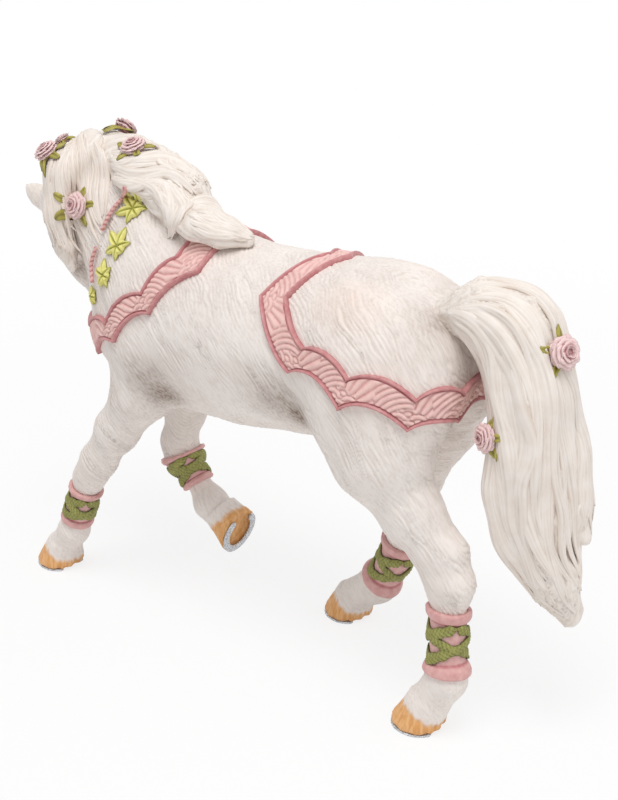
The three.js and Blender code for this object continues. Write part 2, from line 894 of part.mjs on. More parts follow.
// A block whose top face lies in a plane: at, the way down into it, and half sizes
function block(at, down, side, halfDepth, halfWidth, length) {
  const w = unit(down);
  const v = unit(plus(side, w, -dot(side, w)));
  const u = cross(v, w);
  const matrix = new THREE.Matrix4().makeBasis(
    new THREE.Vector3(...u),
    new THREE.Vector3(...v),
    new THREE.Vector3(...w),
  );
  const box = new THREE.BoxGeometry(2 * halfDepth, 2 * halfWidth, length);
  box.deleteAttribute("normal");
  box.deleteAttribute("uv");
  const corners = [];
  const source = box.attributes.position;
  const names = new Map();
  const triangles = [];
  for (const i of box.index.array) {
    const p = [source.getX(i), source.getY(i), source.getZ(i)];
    const key = p.join(" ");
    if (!names.has(key)) {
      names.set(key, corners.length);
      corners.push(p);
    }
    triangles.push(names.get(key));
  }
  const centre = plus(at, w, length / 2);
  const placed = corners.map((p) => {
    const q = new THREE.Vector3(...p).applyMatrix4(matrix).toArray();
    return plus(q, centre);
  });
  return solid(outward(placed, triangles));
}

// The head's own cut: behind the ears and through the throat
const HEAD_CUT = { at: [53.5, -2, 84], down: unit([0.93, -0.2, -0.3]) };
const THROAT = 16; // how far down the head it is still part of the neck's skin
function headAlong(p) {
  return dot(plus(p, POLL, -1), HEAD_DOWN);
}
function torsoField(p) {
  let d = headAlong(p) < THROAT ? coatField(p) : trunkField(p);
  if (headAlong(p) < THROAT) return d;
  for (const leg of legFields) {
    d = blended(d, leg(p), 5);
  }
  return d;
}

function trunkSkin(level) {
  const legCuts = Object.values(LEGS).map((leg) => leg.cut.at[2]);
  const floor = Math.min(...legCuts) - 8;
  const front = (p) => dot(plus(p, HEAD_CUT.at, -1), HEAD_CUT.down) - 6.5;
  const field = (p) => Math.max(torsoField(p) - level, floor - p[2], front(p));
  return solid(gridSkin(field, [-62, -28, floor - 6], [80, 28, 112], BODY_STEP));
}
function makeTorso() {
  let body = trunkSkin(0);
  for (const leg of Object.values(LEGS)) {
    const side = Math.sign(leg.cut.at[1]);
    const at = [leg.cut.at[0], side * 15, leg.cut.at[2]];
    body = body.subtract(block(at, leg.cut.down, [0, 1, 0], 17, 14.6, 40));
  }
  body = body.subtract(block(HEAD_CUT.at, HEAD_CUT.down, [0, 1, 0], 19, 18, 60));
  return largest(body);
}

function makeHead(level = 0) {
  const back = (p) => -1.5 - dot(plus(p, HEAD_CUT.at, -1), HEAD_CUT.down);
  const field = (p) => {
    const skin = headAlong(p) < THROAT ? coatField(p) : headField(p);
    return Math.max(skin - level, back(p));
  };
  let head = largest(solid(gridSkin(field, [38, -26, 42], [80, 16, 104], HEAD_STEP)));
  for (const side of [1, -1]) {
    head = head.add(solid(ear(side)));
  }
  const front = plus(HEAD_CUT.at, HEAD_CUT.down, CUT - level);
  return largest(head.intersect(block(front, HEAD_CUT.down, [0, 1, 0], 60, 60, 80)));
}
function ear(side) {
  const root = headPoint(1.5, 3.6 * side, -1);
  const lean = unit(plus(plus(HEAD_DOWN.map((v) => -v), HEAD_LEFT, 0.5 * side), HEAD_OUT, -0.05));
  const tip = plus(root, lean, EAR_HEIGHT);
  const way = unit(plus(tip, root, -1));
  const v = unit(plus(HEAD_LEFT, way, -dot(HEAD_LEFT, way)));
  const u = cross(v, way);
  const widths = [0.62, 0.95, 1, 0.72, 0.12];
  const rings = widths.map((width, i) => {
    const centre = mix(root, tip, i / (widths.length - 1));
    return Array.from({ length: 8 }, (_, j) => {
      const angle = (j * Math.PI) / 4;
      const wide = EAR_RADIUS * width * Math.cos(angle);
      const deep = EAR_RADIUS * 0.55 * width * Math.sin(angle);
      return plus(plus(centre, v, wide), u, deep);
    });
  });
  return ringBody(rings);
}

// Feet: the sole lies SHOE_WALL and a seat above the shoe's lower face
function hoofFrame(hoof) {
  const toe = unit(hoof.toe);
  const up = unit(plus(hoof.up, toe, -dot(hoof.up, toe)));
  return { at: hoof.at, toe, up, side: cross(up, toe) };
}
function hoofPoint(frame, x, y, z) {
  return plus(plus(plus(frame.at, frame.toe, x), frame.side, y), frame.up, z);
}
const SOLE = SHOE_WALL + SEAT;
const CORONET_RISE = 0.22;
function hoofRing(frame, height, scale, sides) {
  const back = -0.34 * height;
  return Array.from({ length: sides }, (_, j) => {
    const angle = (2 * Math.PI * j) / sides;
    const x = (HOOF_LENGTH / 2) * scale * Math.cos(angle);
    const y = (HOOF_WIDTH / 2) * scale * Math.sin(angle);
    const heel = x < 0 ? 0.86 : 1;
    const rise = (height / HOOF_HEIGHT) * CORONET_RISE * x;
    return hoofPoint(frame, back + x * heel, y, SOLE + height + rise);
  });
}
function makeHoof(hoof) {
  const frame = hoofFrame(hoof);
  const heights = [0, 0.18, 0.55, 0.9, 1];
  const scales = [1, 0.985, 0.88, 0.8, 0.74];
  const rings = heights.map((h, i) => hoofRing(frame, h * HOOF_HEIGHT, scales[i], 16));
  return solid(ringBody(rings));
}
function makeShoe(hoof) {
  const frame = hoofFrame(hoof);
  const outer = [];
  const inner = [];
  const open = 0.62;
  const count = 18;
  for (let i = 0; i <= count; i += 1) {
    const angle = -Math.PI + open + ((2 * Math.PI - 2 * open) * i) / count;
    const x = Math.cos(angle);
    const y = Math.sin(angle);
    const heel = x < 0 ? 0.86 : 1;
    outer.push(new THREE.Vector2((HOOF_LENGTH / 2 - SHOE_INSET) * x * heel, (HOOF_WIDTH / 2 - SHOE_INSET) * y));
    const reachX = HOOF_LENGTH / 2 - SHOE_INSET - SHOE_WEB;
    const reachY = HOOF_WIDTH / 2 - SHOE_INSET - SHOE_WEB;
    inner.push(new THREE.Vector2(reachX * x * heel, reachY * y));
  }
  const outline = [...outer, ...inner.reverse()];
  const rings = [0, SHOE_WALL].map((z) => outline.map((p) => hoofPoint(frame, p.x, p.y, z)));
  const flat = THREE.ShapeUtils.triangulateShape(outline, []);
  const points = rings.flat();
  const n = outline.length;
  const triangles = [];
  for (const [a, b, c] of flat) {
    triangles.push(a, c, b, n + a, n + b, n + c);
  }
  for (let i = 0; i < n; i += 1) {
    const k = (i + 1) % n;
    triangles.push(i, k, n + k, i, n + k, n + i);
  }
  return solid(outward(points, triangles));
}

// Legs below their cuts, down to the coronet
function legStops(leg, count) {
  const frame = hoofFrame(leg.hoof);
  const slope = unit(plus(frame.up, frame.toe, -CORONET_RISE));
  const foot = hoofPoint(frame, -0.34 * HOOF_HEIGHT, 0, SOLE + HOOF_HEIGHT + CUT);
  const down = unit(leg.cut.down);
  const start = plus(leg.cut.at, down, CUT);
  const rest = leg.joints.slice(2, -1).map((joint) => joint.slice(0, 3));
  const before = plus(foot, slope, 1.5);
  const way = slope.map((value) => -value);
  return curveStops([start, ...rest, before, foot], count, [0, 1, 0], 13, down, way);
}
function makeLeg(leg, level = 0) {
  return solid(ringBody(skinRings(coatField, legStops(leg, LEG_RINGS), LEG_SIDES, level)));
}

// A wrap: a hollow sleeve with a rolled bead at each end
function sleeveStops(leg, count) {
  const fine = legStops(leg, 61);
  const [from, to] = leg.wrap;
  return Array.from({ length: count }, (_, i) => {
    const t = from + ((to - from) * i) / (count - 1);
    return fine[Math.round(t * 60)];
  });
}
function makeWrap(leg) {
  const shape = [0.8, 1, 0, 0, 0, 0, 0, 1, 0.8];
  const places = [0, 2, 4, 7, 10, 13, 16, 18, 20];
  const stops = sleeveStops(leg, 21);
  const outer = shape.map((share, i) => {
    const level = Math.max(WRAP_WALL, WRAP_BEAD * share);
    return skinRings(coatField, [stops[places[i]]], LEG_SIDES, level)[0];
  });
  const coat = skinRings(coatField, legStops(leg, LEG_RINGS), LEG_SIDES, SEAT);
  const [from, to] = leg.wrap.map((t) => t * (LEG_RINGS - 1));
  const between = [];
  for (let i = Math.ceil(from + 0.05); i < to - 0.05; i += 1) {
    between.push(i);
  }
  const lining = [from, ...between, to].reverse().map((place) => {
    const i = Math.floor(place);
    return coat[i].map((p, j) => mix(p, coat[i + 1][j], place - i));
  });
  return solid(ringBody([...outer, ...lining], true));
}
function sleevePoint(stops, t, angle, level) {
  const exact = t * (stops.length - 1);
  const i = Math.min(Math.floor(exact), stops.length - 2);
  const part = exact - i;
  const at = mix(stops[i].at, stops[i + 1].at, part);
  const axis = unit(mix(stops[i].way, stops[i + 1].way, part));
  const v = unit(plus(stops[i].side, axis, -dot(stops[i].side, axis)));
  const u = cross(v, axis);
  const way = plus(
    u.map((value) => value * Math.cos(angle)),
    v,
    Math.sin(angle),
  );
  return plus(at, way, reach(coatField, at, way, 13, level));
}
function makeVine(leg) {
  const stops = sleeveStops(leg, 13);
  const low = WRAP_WALL + SEAT + 0.1;
  const high = low + VINE_WALL;
  const spans = LEG_SIDES;
  const length = stops.slice(1).reduce((sum, s, i) => {
    const q = plus(s.at, stops[i].at, -1);
    return sum + Math.hypot(q[0], q[1], q[2]);
  }, 0);
  const half = VINE_WIDTH / 2 / length;
  let vine = null;
  for (const turn of [1, -1]) {
    const rings = [];
    for (let i = 0; i <= spans; i += 1) {
      const t = 0.28 + (0.44 * i) / spans;
      const angle = turn * ((2 * Math.PI * i) / spans) + Math.PI / 2;
      const swell = half * (1 + 0.35 * Math.cos(i * Math.PI));
      rings.push([
        sleevePoint(stops, t - swell, angle, low),
        sleevePoint(stops, t + swell, angle, low),
        sleevePoint(stops, t + swell * 0.7, angle, high),
        sleevePoint(stops, t - swell * 0.7, angle, high),
      ]);
    }
    const ribbon = solid(ringBody(rings));
    vine = vine ? vine.add(ribbon) : ribbon;
  }
  return largest(vine);
}

// Bands that lie on the coat, scalloped along both edges
function scallops(edge, lift) {
  const points = [edge[0].at];
  for (let i = 1; i < edge.length; i += 1) {
    for (let k = 1; k <= BAND_SPANS; k += 1) {
      const t = k / BAND_SPANS;
      const height = edge[i].bulge * Math.sin(Math.PI * t) ** 0.8;
      points.push(plus(mix(edge[i - 1].at, edge[i].at, t), unit(lift), height || 0));
    }
  }
  return points;
}
function bandRings(band, extra) {
  const upper = scallops(band.upper, band.lift);
  const lower = scallops(band.lower, band.lift);
  const half = upper.map((top, i) => [top, lower[i]]);
  const mirror = ([x, y, z]) => [x, -y, z];
  const other = half.slice(1, -1).reverse().map(([top, bottom]) => [mirror(top), mirror(bottom)]);
  const profile = [
    [0, BAND_SEAT - extra],
    [0.05, BAND_RIM + extra],
    [0.2, BAND_PANEL + extra],
    [0.8, BAND_PANEL + extra],
    [0.95, BAND_RIM + extra],
    [1, BAND_SEAT - extra],
    [0.5, BAND_SEAT - extra],
  ];
  return [...half, ...other].map(([top, bottom]) => {
    const across = unit(plus(bottom, top, -1));
    const a = plus(top, across, -extra);
    const b = plus(bottom, across, extra);
    return profile.map(([t, level]) => {
      const base = settle(coatField, mix(a, b, t), 0);
      const normal = unit(gradient(coatField, base));
      return plus(base, normal, level);
    });
  });
}
function makeBand(band, extra = 0) {
  return solid(ringBody(bandRings(band, extra), true));
}

// Hair
function makeHair(name, level = 0) {
  const hair = HAIR[name];
  const joints = hair.joints.map((joint) => joint.slice(0, 3));
  const first = unit(plus(joints[0], joints[1], -1));
  const last = unit(plus(joints[joints.length - 1], joints[joints.length - 2], -1));
  const reachFirst = Math.min(hair.joints[0][3], hair.joints[0][4]);
  const reachLast = Math.min(hair.joints.at(-1)[3], hair.joints.at(-1)[4]);
  const path = [
    plus(joints[0], first, reachFirst * 0.82 + level),
    ...joints,
    plus(joints[joints.length - 1], last, reachLast * 0.86 + level),
  ];
  const { stops: count, sides } = HAIR_FINENESS[name] ?? HAIR_FINENESS.plain;
  const stops = curveStops(path, count, hair.side, 14);
  return solid(ringBody(skinRings(hairFields[name], stops, sides, level)));
}

// Small trim that follows the surface below it
function tangentFrame(at, turn = 0) {
  const n = unit(gradient(outerField, settle(outerField, at, 0)));
  const guide = Math.abs(n[2]) > 0.9 ? [1, 0, 0] : [0, 0, 1];
  const v0 = unit(plus(guide, n, -dot(guide, n)));
  const u0 = cross(v0, n);
  const angle = (turn * Math.PI) / 180;
  const u = plus(
    u0.map((value) => value * Math.cos(angle)),
    v0,
    Math.sin(angle),
  );
  return { n, u, v: cross(n, u) };
}
function plate(field, at, frame, outline, wall, steps = 2) {
  const start = plus(at, frame.n, 7);
  const down = frame.n.map((value) => -value);
  const place = (x, y, level) =>
    plus(
      drop(field, plus(plus(start, frame.u, x), frame.v, y), down, SEAT),
      frame.n,
      level,
    );
  const n = outline.length;
  const points = [];
  const triangles = [];
  for (const level of [0, wall]) {
    points.push(place(0, 0, level * 1.3));
    for (let s = 1; s <= steps; s += 1) {
      const share = s / steps;
      for (const [x, y] of outline) {
        points.push(place(x * share, y * share, level * (share < 1 ? 1.15 : 0.8)));
      }
    }
  }
  const layer = 1 + n * steps;
  for (let i = 0; i < n; i += 1) {
    const k = (i + 1) % n;
    triangles.push(layer, layer + 1 + i, layer + 1 + k);
    triangles.push(0, 1 + k, 1 + i);
    for (let s = 1; s < steps; s += 1) {
      const a = 1 + (s - 1) * n;
      const b = 1 + s * n;
      triangles.push(layer + a + i, layer + b + i, layer + b + k);
      triangles.push(layer + a + i, layer + b + k, layer + a + k);
      triangles.push(a + i, b + k, b + i);
      triangles.push(a + i, a + k, b + k);
    }
    const edge = 1 + (steps - 1) * n;
    triangles.push(edge + i, edge + k, layer + edge + k);
    triangles.push(edge + i, layer + edge + k, layer + edge + i);
  }
  return solid(outward(points, triangles));
}
function starOutline(points, far, near) {
  return Array.from({ length: points * 2 }, (_, i) => {
    const angle = (Math.PI * i) / points;
    const r = i % 2 ? near : far;
    return [r * Math.cos(angle), r * Math.sin(angle)];
  });
}
function leafOutline(far) {
  const lobes = [1, 0.5, 0.86, 0.45, 0.62, 0.3, 0.42, 0.3, 0.62, 0.45, 0.86, 0.5];
  return lobes.map((r, i) => {
    const angle = (2 * Math.PI * i) / lobes.length;
    return [far * r * Math.cos(angle), far * r * Math.sin(angle)];
  });
}
function makeSepals(rose, extra = 0) {
  const frame = tangentFrame(rose.at, 90);
  const outline = starOutline(5, SEPAL_REACH * rose.size, ROSE_RADIUS * rose.size * 0.8);
  return plate(outerField, rose.at, frame, outline, SEPAL_WALL + extra);
}
function makeRose(rose) {
  const frame = tangentFrame(rose.at, 0);
  const down = frame.n.map((value) => -value);
  const foot = drop(outerField, plus(rose.at, frame.n, 7), down, SEAT);
  const sides = 10;
  const shape = [
    [0.5, 0, 0],
    [0.92, 0.12, 0],
    [1, 0.4, 0.08],
    [0.86, 0.72, -0.08],
    [0.56, 0.6, 0],
    [0.46, 1, 0.07],
    [0.2, 0.9, 0],
  ];
  const base = SEPAL_WALL * 1.3 + SEAT + 0.35;
  const rings = shape.map(([r, h, wave]) =>
    Array.from({ length: sides }, (_, j) => {
      const angle = (2 * Math.PI * j) / sides;
      const radius = ROSE_RADIUS * rose.size * (r + wave * Math.cos(5 * angle));
      const flat = plus(foot, frame.u, radius * Math.cos(angle));
      const placed = plus(flat, frame.v, radius * Math.sin(angle));
      return plus(placed, frame.n, base + (ROSE_HEIGHT * rose.size - base) * h);
    }),
  );
  return solid(ringBody(rings));
}
function makeLeaf(leaf) {
  const frame = tangentFrame(leaf.at, leaf.turn);
  return plate(outerField, leaf.at, frame, leafOutline(leaf.reach), LEAF_WALL);
}
function makeCord(path, extra = 0) {
  const curve = new THREE.CatmullRomCurve3(path.map((p) => new THREE.Vector3(...p)));
  const beads = Math.max(2, Math.round(curve.getLength() / BEAD_PITCH));
  const stops = beads * 2;
  const rings = [];
  for (let i = 0; i <= stops; i += 1) {
    const point = curve.getPointAt(i / stops).toArray();
    const way = curve.getTangentAt(i / stops).toArray();
    const thick = BEAD_RADIUS * (i % 2 ? 1 : 0.62) + extra;
    const n = unit(gradient(outerField, settle(outerField, point, 0)));
    const at = plus(settle(outerField, point, 0), n, SEAT + BEAD_RADIUS);
    const v = unit(cross(n, way));
    rings.push(
      Array.from({ length: 6 }, (_, j) => {
        const angle = (j * Math.PI) / 3;
        return plus(plus(at, n, thick * Math.cos(angle)), v, thick * Math.sin(angle));
      }),
    );
  }
  return solid(ringBody(rings));
}

// Assembly
const group = new THREE.Group();
group.name = "toy_horse_figure";
const pieces = new Map();
function keep(name, manifold, paint) {
  pieces.set(name, { manifold, paint });
}
function clearOf(piece, others) {
  return largest(others.reduce((rest, other) => rest.subtract(other), piece));
}
function inflatedCoat() {
  return trunkSkin(SEAT).add(makeHead(SEAT));
}

function build() {
  keep("torso", makeTorso(), "coat");
  keep("head", makeHead(), "coat");
  for (const [name, leg] of Object.entries(LEGS)) {
    keep(`leg_${name}`, makeLeg(leg), "coat");
    keep(`hoof_${name}`, makeHoof(leg.hoof), "horn");
    keep(`shoe_${name}`, makeShoe(leg.hoof), "silver");
    keep(`wrap_${name}`, makeWrap(leg), "pink");
    keep(`vine_${name}`, makeVine(leg), "vine");
  }
  keep("breast_collar", makeBand(COLLAR), "pink");
  keep("crupper_band", makeBand(CRUPPER), "pink");

  const under = [inflatedCoat(), makeBand(COLLAR, SEAT), makeBand(CRUPPER, SEAT)];
  under.push(solid(ear(1)), solid(ear(-1)));
  for (const name of Object.keys(HAIR)) {
    keep(name, clearOf(makeHair(name), under), "hair");
    under.push(makeHair(name, SEAT));
  }

  ROSES.forEach((rose, i) => {
    keep(`rose_${i + 1}`, clearOf(makeRose(rose), [makeSepals(rose, SEAT)]), "rose");
    keep(`sepals_${i + 1}`, clearOf(makeSepals(rose), under), "leaf");
  });
  for (const [name, path] of Object.entries(CORDS)) {
    keep(name, clearOf(makeCord(path), under), "pink");
    under.push(makeCord(path, SEAT));
  }
  LEAVES.forEach((leaf, i) => {
    keep(`leaf_${i + 1}`, clearOf(makeLeaf(leaf), under), "leaf");
  });
}

build();
const bounds = new THREE.Box3();
for (const [name, piece] of pieces) {
  const geometry = geometryOf(piece.manifold);
  geometry.computeVertexNormals();
  const mesh = new THREE.Mesh(geometry, new THREE.MeshStandardMaterial(PAINT[piece.paint]));
  mesh.name = name;
  bounds.expandByObject(mesh);
  group.add(mesh);
}
const middleX = (bounds.min.x + bounds.max.x) / 2;
const middleY = (bounds.min.y + bounds.max.y) / 2;
group.position.set(-middleX, -middleY, -bounds.min.z);

export default group;
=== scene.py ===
# Toy horse figure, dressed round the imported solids. Forms are worked out in millimetres.
import json
import math

import bpy
import numpy as np
from mathutils import Matrix, Vector

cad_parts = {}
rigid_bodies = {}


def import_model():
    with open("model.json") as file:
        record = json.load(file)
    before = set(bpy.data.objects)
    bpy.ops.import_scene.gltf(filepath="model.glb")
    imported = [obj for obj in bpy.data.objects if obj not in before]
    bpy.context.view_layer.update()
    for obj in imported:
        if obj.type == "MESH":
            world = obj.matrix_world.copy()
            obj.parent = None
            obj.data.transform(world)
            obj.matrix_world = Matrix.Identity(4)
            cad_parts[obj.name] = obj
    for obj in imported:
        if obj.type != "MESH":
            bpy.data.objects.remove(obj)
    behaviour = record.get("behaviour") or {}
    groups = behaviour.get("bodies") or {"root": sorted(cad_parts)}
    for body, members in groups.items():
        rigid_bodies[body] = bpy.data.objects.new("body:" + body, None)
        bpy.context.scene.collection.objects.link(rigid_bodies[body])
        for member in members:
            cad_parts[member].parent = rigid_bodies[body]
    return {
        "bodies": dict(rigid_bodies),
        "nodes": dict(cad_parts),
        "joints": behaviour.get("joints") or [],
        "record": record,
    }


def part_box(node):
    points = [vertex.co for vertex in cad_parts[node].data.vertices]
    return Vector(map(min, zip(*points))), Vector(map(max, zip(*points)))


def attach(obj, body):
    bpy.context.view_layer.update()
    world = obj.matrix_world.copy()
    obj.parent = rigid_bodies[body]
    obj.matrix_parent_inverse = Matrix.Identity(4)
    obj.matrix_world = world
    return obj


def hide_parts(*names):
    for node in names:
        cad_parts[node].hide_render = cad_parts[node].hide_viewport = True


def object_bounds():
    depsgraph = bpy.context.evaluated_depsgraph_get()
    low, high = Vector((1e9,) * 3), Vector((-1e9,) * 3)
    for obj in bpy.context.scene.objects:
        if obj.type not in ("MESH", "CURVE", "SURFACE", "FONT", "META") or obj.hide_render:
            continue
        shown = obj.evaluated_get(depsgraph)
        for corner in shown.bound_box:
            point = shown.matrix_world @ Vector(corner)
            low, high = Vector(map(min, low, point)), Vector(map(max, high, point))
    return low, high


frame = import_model()
cad_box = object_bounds()

# Distances between points in mm: coat, hair cores, along locks and over bands
SKIN_STEP, HAIR_STEP, LOCK_STEP, BAND_STEP = ((0.27, 0.34, 0.6, 0.17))
GROOVE_PITCH = 0.84  # between the coat's grooves
LOCK_SIDES = 22

# The figure's tables are in the source's own millimetres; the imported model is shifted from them
SHOE_TOE_X = 63.55
SHOE_MIDDLE_Y = 9.2
shoe_low, shoe_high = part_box("shoe_lf")
SHIFT = np.array([
    shoe_high.x * 1000 - SHOE_TOE_X,
    (shoe_low.y + shoe_high.y) * 500 - SHOE_MIDDLE_Y,
    0.0,
])

# Trunk and neck: x, y, z, half height, half width
TRUNK = [
    (-37, 0, 69.3, 8.3, 8.5), (-31, 0, 68.5, 12.7, 13), (-22, 0, 67.8, 15.8, 14.8),
    (-8, 0, 66, 16.3, 15.6), (6, 0, 64.8, 16.9, 16.2), (18, 0, 65.1, 17.4, 15.2),
    (29, 0, 66, 17, 12.8), (35, 0, 65.3, 12, 9.5), (39, 0, 61.3, 7.8, 7),
]
NECK = [
    (24, 0, 73, 12.4, 10), (34, 0, 77, 14.4, 9.5), (42, -0.5, 81.5, 12, 8.5),
    (50, -1.5, 84.5, 10, 7.5), (56.5, -2.2, 84.4, 8.3, 6.5),
]


def both_sides(centre, radii, value):
    """A place on the left side and its mirror image on the right."""
    x, y, z = centre
    return [(centre, radii, value), ((x, -y, z), radii, value)]


# Muscles: centre, radii and pitch in degrees
MUSCLES = [
    *both_sides((-27, 8, 69.5), (14, 8, 12.2), 0),
    ((-30.5, 11, 58), (10.5, 6.5, 12), 0), ((-27, -10.5, 57), (12, 6.5, 12.5), 0),
    *both_sides((-36.5, 8, 65.5), (9.5, 6.5, 11.5), -12),
    *both_sides((27, 8.5, 65), (9, 6, 15), 20),
    *both_sides((36.4, 4.2, 60), (7, 6.2, 9), 0),
    ((14, 0, 77.5), (14, 4.5, 4.6), 0),
]

# Legs: x, y, z, half depth, half width, then the cut, the hoof and the share that the wrap covers
LEGS = {
    "lh": dict(
        joints=[
            (-29, 9.5, 62, 11, 7.5), (-33.5, 11, 51.5, 9, 6.5), (-39.6, 10, 42.5, 6.1, 4.8),
            (-46, 9.4, 36, 5.1, 4), (-48.2, 9.6, 31, 4.5, 3.7), (-48.8, 10.5, 20.5, 2.3, 2.1),
            (-49.4, 11.3, 12, 3.5, 3.3), (-46, 11.5, 6, 3.9, 4),
        ],
        cut=((-34, 11, 50.2), (-0.5, 0, -0.87)),
        hoof=((-43.8, 11.5, 0), (1, 0.2, 0), (0, 0, 1)), wrap=(0.575, 0.83),
    ),
    "rh": dict(
        joints=[
            (-26, -9.5, 62, 11.5, 7.5), (-27, -10.5, 51.5, 11.2, 6.5), (-25, -10.5, 41, 7.4, 5),
            (-25.6, -10, 32.5, 4.9, 4), (-25, -10, 28, 4.2, 3.5), (-21.4, -11, 18.5, 2.2, 2.1),
            (-16.5, -12.3, 10.8, 3.6, 3.4), (-10.6, -13.2, 6, 3.6, 3.7),
        ],
        cut=((-26.3, -10.5, 47.4), (0.05, 0, -1)),
        hoof=((-8, -13.6, 0), (1, -0.1, 0), (0, 0, 1)), wrap=(0.5, 0.78),
    ),
    "lf": dict(
        joints=[
            (26.5, 9.5, 60, 8, 6), (29.4, 10, 49, 6, 5.2), (36.7, 10, 39, 4.5, 4.1),
            (43.2, 9.8, 30, 3.6, 3.6), (46, 10, 25.5, 3.2, 3.2), (49, 10.3, 17.5, 2, 2),
            (52, 10, 10.8, 3.1, 3.1), (55.4, 9.6, 6.5, 3.3, 3.4),
        ],
        cut=((31.5, 10, 46.8), (0.4, 0, -0.92)),
        hoof=((58, 9.2, 0), (1, 0, 0), (0, 0, 1)), wrap=(0.6, 0.8),
    ),
    "rf": dict(
        joints=[
            (26, -9.5, 60, 8.8, 6), (30.5, -9.8, 47, 6.6, 5.2), (35.8, -10.4, 37, 4.1, 4),
            (37.6, -10, 29.5, 3.7, 3.7), (36.6, -10, 26.3, 3.4, 3.3), (32.6, -10, 21.4, 2, 2),
            (28.3, -9.8, 17, 3.4, 3.3), (24.3, -9.6, 14.8, 3.4, 3.5),
        ],
        cut=((31.4, -9.8, 45.4), (0.45, 0, -0.89)),
        hoof=((19.4, -9.6, 12.6), (0.3, 0, -1), (1, 0, 0.3)), wrap=(0.54, 0.77),
    ),
}

# Feet
HOOF_HEIGHT, HOOF_LENGTH, HOOF_WIDTH = 5.6, 11.2, 10.2
HOOF_SLOPE, HEEL_SHARE = 0.34, 0.86  # how far the wall leans back per mm of height, and how short the heels are
HOOF_PROFILE = ([0, 0.08, 0.2, 0.55, 0.9, 1.2], [0.975, 1, 0.985, 0.88, 0.8, 0.7])  # girth by height
SHOE_WALL, SHOE_WEB, SEAT, CUT = 0.55, 1.7, 0.22, 0.3
SOLE = SHOE_WALL + SEAT
CORONET_RISE = 0.22

# Head
POLL = np.array([61.2, -2.2, 84])
HEAD_LENGTH = 33
HEAD_TURN, HEAD_TUCK, HEAD_LEAN = (math.radians(v) for v in (37, 3, 21))
SKULL = [
    (0.02, -2.5, 7.5, 6.3), (0.25, -1.5, 8, 6.8), (0.45, -0.5, 6.9, 6),
    (0.75, 0.3, 4.9, 4.1), (0.93, -0.3, 4.3, 3.9), (1, -0.8, 3.2, 3.2),
]
EYE = (10.8, 5.9, 3.4)  # along the head, aside and out of the forehead

# Relief of each half of the head: centre as for the eye, radii and how softly it blends
HEAD_RAISED = [
    ((EYE[0] - 0.6, 4.6, 4.1), (2.6, 1.5, 1.7), 1.4), ((EYE[0] + 7.5, 3.6, 0.6), (6.5, 1.1, 1.0), 1.2),
    ((30.2, 2.4, 0.9), (2.3, 1.2, 1.6), 0.9),
]
HEAD_SUNK = [((30.7, 3.6, 1.0), (1.25, 1.0, 0.65), 0.5), ((24, 4.6, -1.2), (4, 1.1, 1.2), 1.5)]
CHIN = ((29.8, 0, -3.6), (2.4, 2.4, 1.5), 0.8)

# Hair cores: x, y, z, half thickness, half width, then the way across
HAIR = {
    "mane_crest": ([
        (50, -1.5, 96.2, 3, 5), (41.5, -0.5, 95.5, 3.4, 5.5), (32, 1.5, 93.4, 3.8, 6),
        (23.5, 2.5, 90.6, 4, 6), (17.5, 4, 87, 3.2, 5),
    ], (0, 1, -0.45)),
    "mane_withers_lock": ([
        (20, 7, 88.2, 2.3, 3.1), (15, 6.8, 87.2, 2.6, 3.4), (10, 5, 85.8, 2.1, 3), (5.5, 2.5, 84.8, 1.2, 1.7),
    ], (0, 1, -0.5)),
    "mane_left_fall": ([
        (49, 1.5, 97.5, 2.8, 5.5), (53.4, 6.5, 92.2, 2.7, 5.8), (52.8, 8.5, 82.5, 2.4, 5.2),
        (50.5, 9, 76.5, 1.9, 3.6), (49, 9, 72.5, 1.2, 2),
    ], (1, -0.6, 0)),
    "mane_right_fall": ([
        (40, -4, 93, 3, 7), (38, -9.5, 87, 2.8, 8), (36, -12, 80, 2.5, 7), (35, -13, 73, 1.7, 4.5),
    ], (1, 0, 0.1)),
    "forelock": ([
        (57, -2, 93.8, 2.6, 3.4), (62.6, -4.6, 90.2, 2.5, 3.8), (65.8, -6.4, 83.6, 2.1, 3.4),
        (65.2, -8.4, 77, 1.8, 2.6), (63.6, -9.9, 71.8, 1.2, 1.6),
    ], (0.6, 0.8, 0)),
    "tail_main": ([
        (-38.5, 0, 77.5, 3.6, 4), (-45.5, -0.5, 80, 4.9, 5.6), (-53.5, -1, 78.5, 5.8, 6.8),
        (-57.5, -0.5, 68, 5.6, 7.4), (-58.7, 0, 56, 5.6, 7.4), (-60.3, 0, 45, 5.3, 6.4),
        (-63.8, -1, 33.5, 4, 4.6), (-67, -2.8, 25.5, 2, 2.6),
    ], (0, 1, 0)),
    "tail_lock_outer": ([
        (-60, -4, 66, 3, 4.4), (-62.3, -4.6, 56, 3.4, 4.2), (-64.6, -5, 47, 2.7, 3.2),
        (-67, -5.2, 40.5, 1.4, 1.6),
    ], (0, 1, 0)),
    "tail_lock_inner": ([
        (-55, 4, 62, 2.6, 3.4), (-55.2, 4.6, 51, 2.8, 3.6), (-57.5, 4.6, 41, 2.3, 2.8),
        (-60.5, 3.6, 34.5, 1.4, 1.6),
    ], (0, 1, 0)),
}

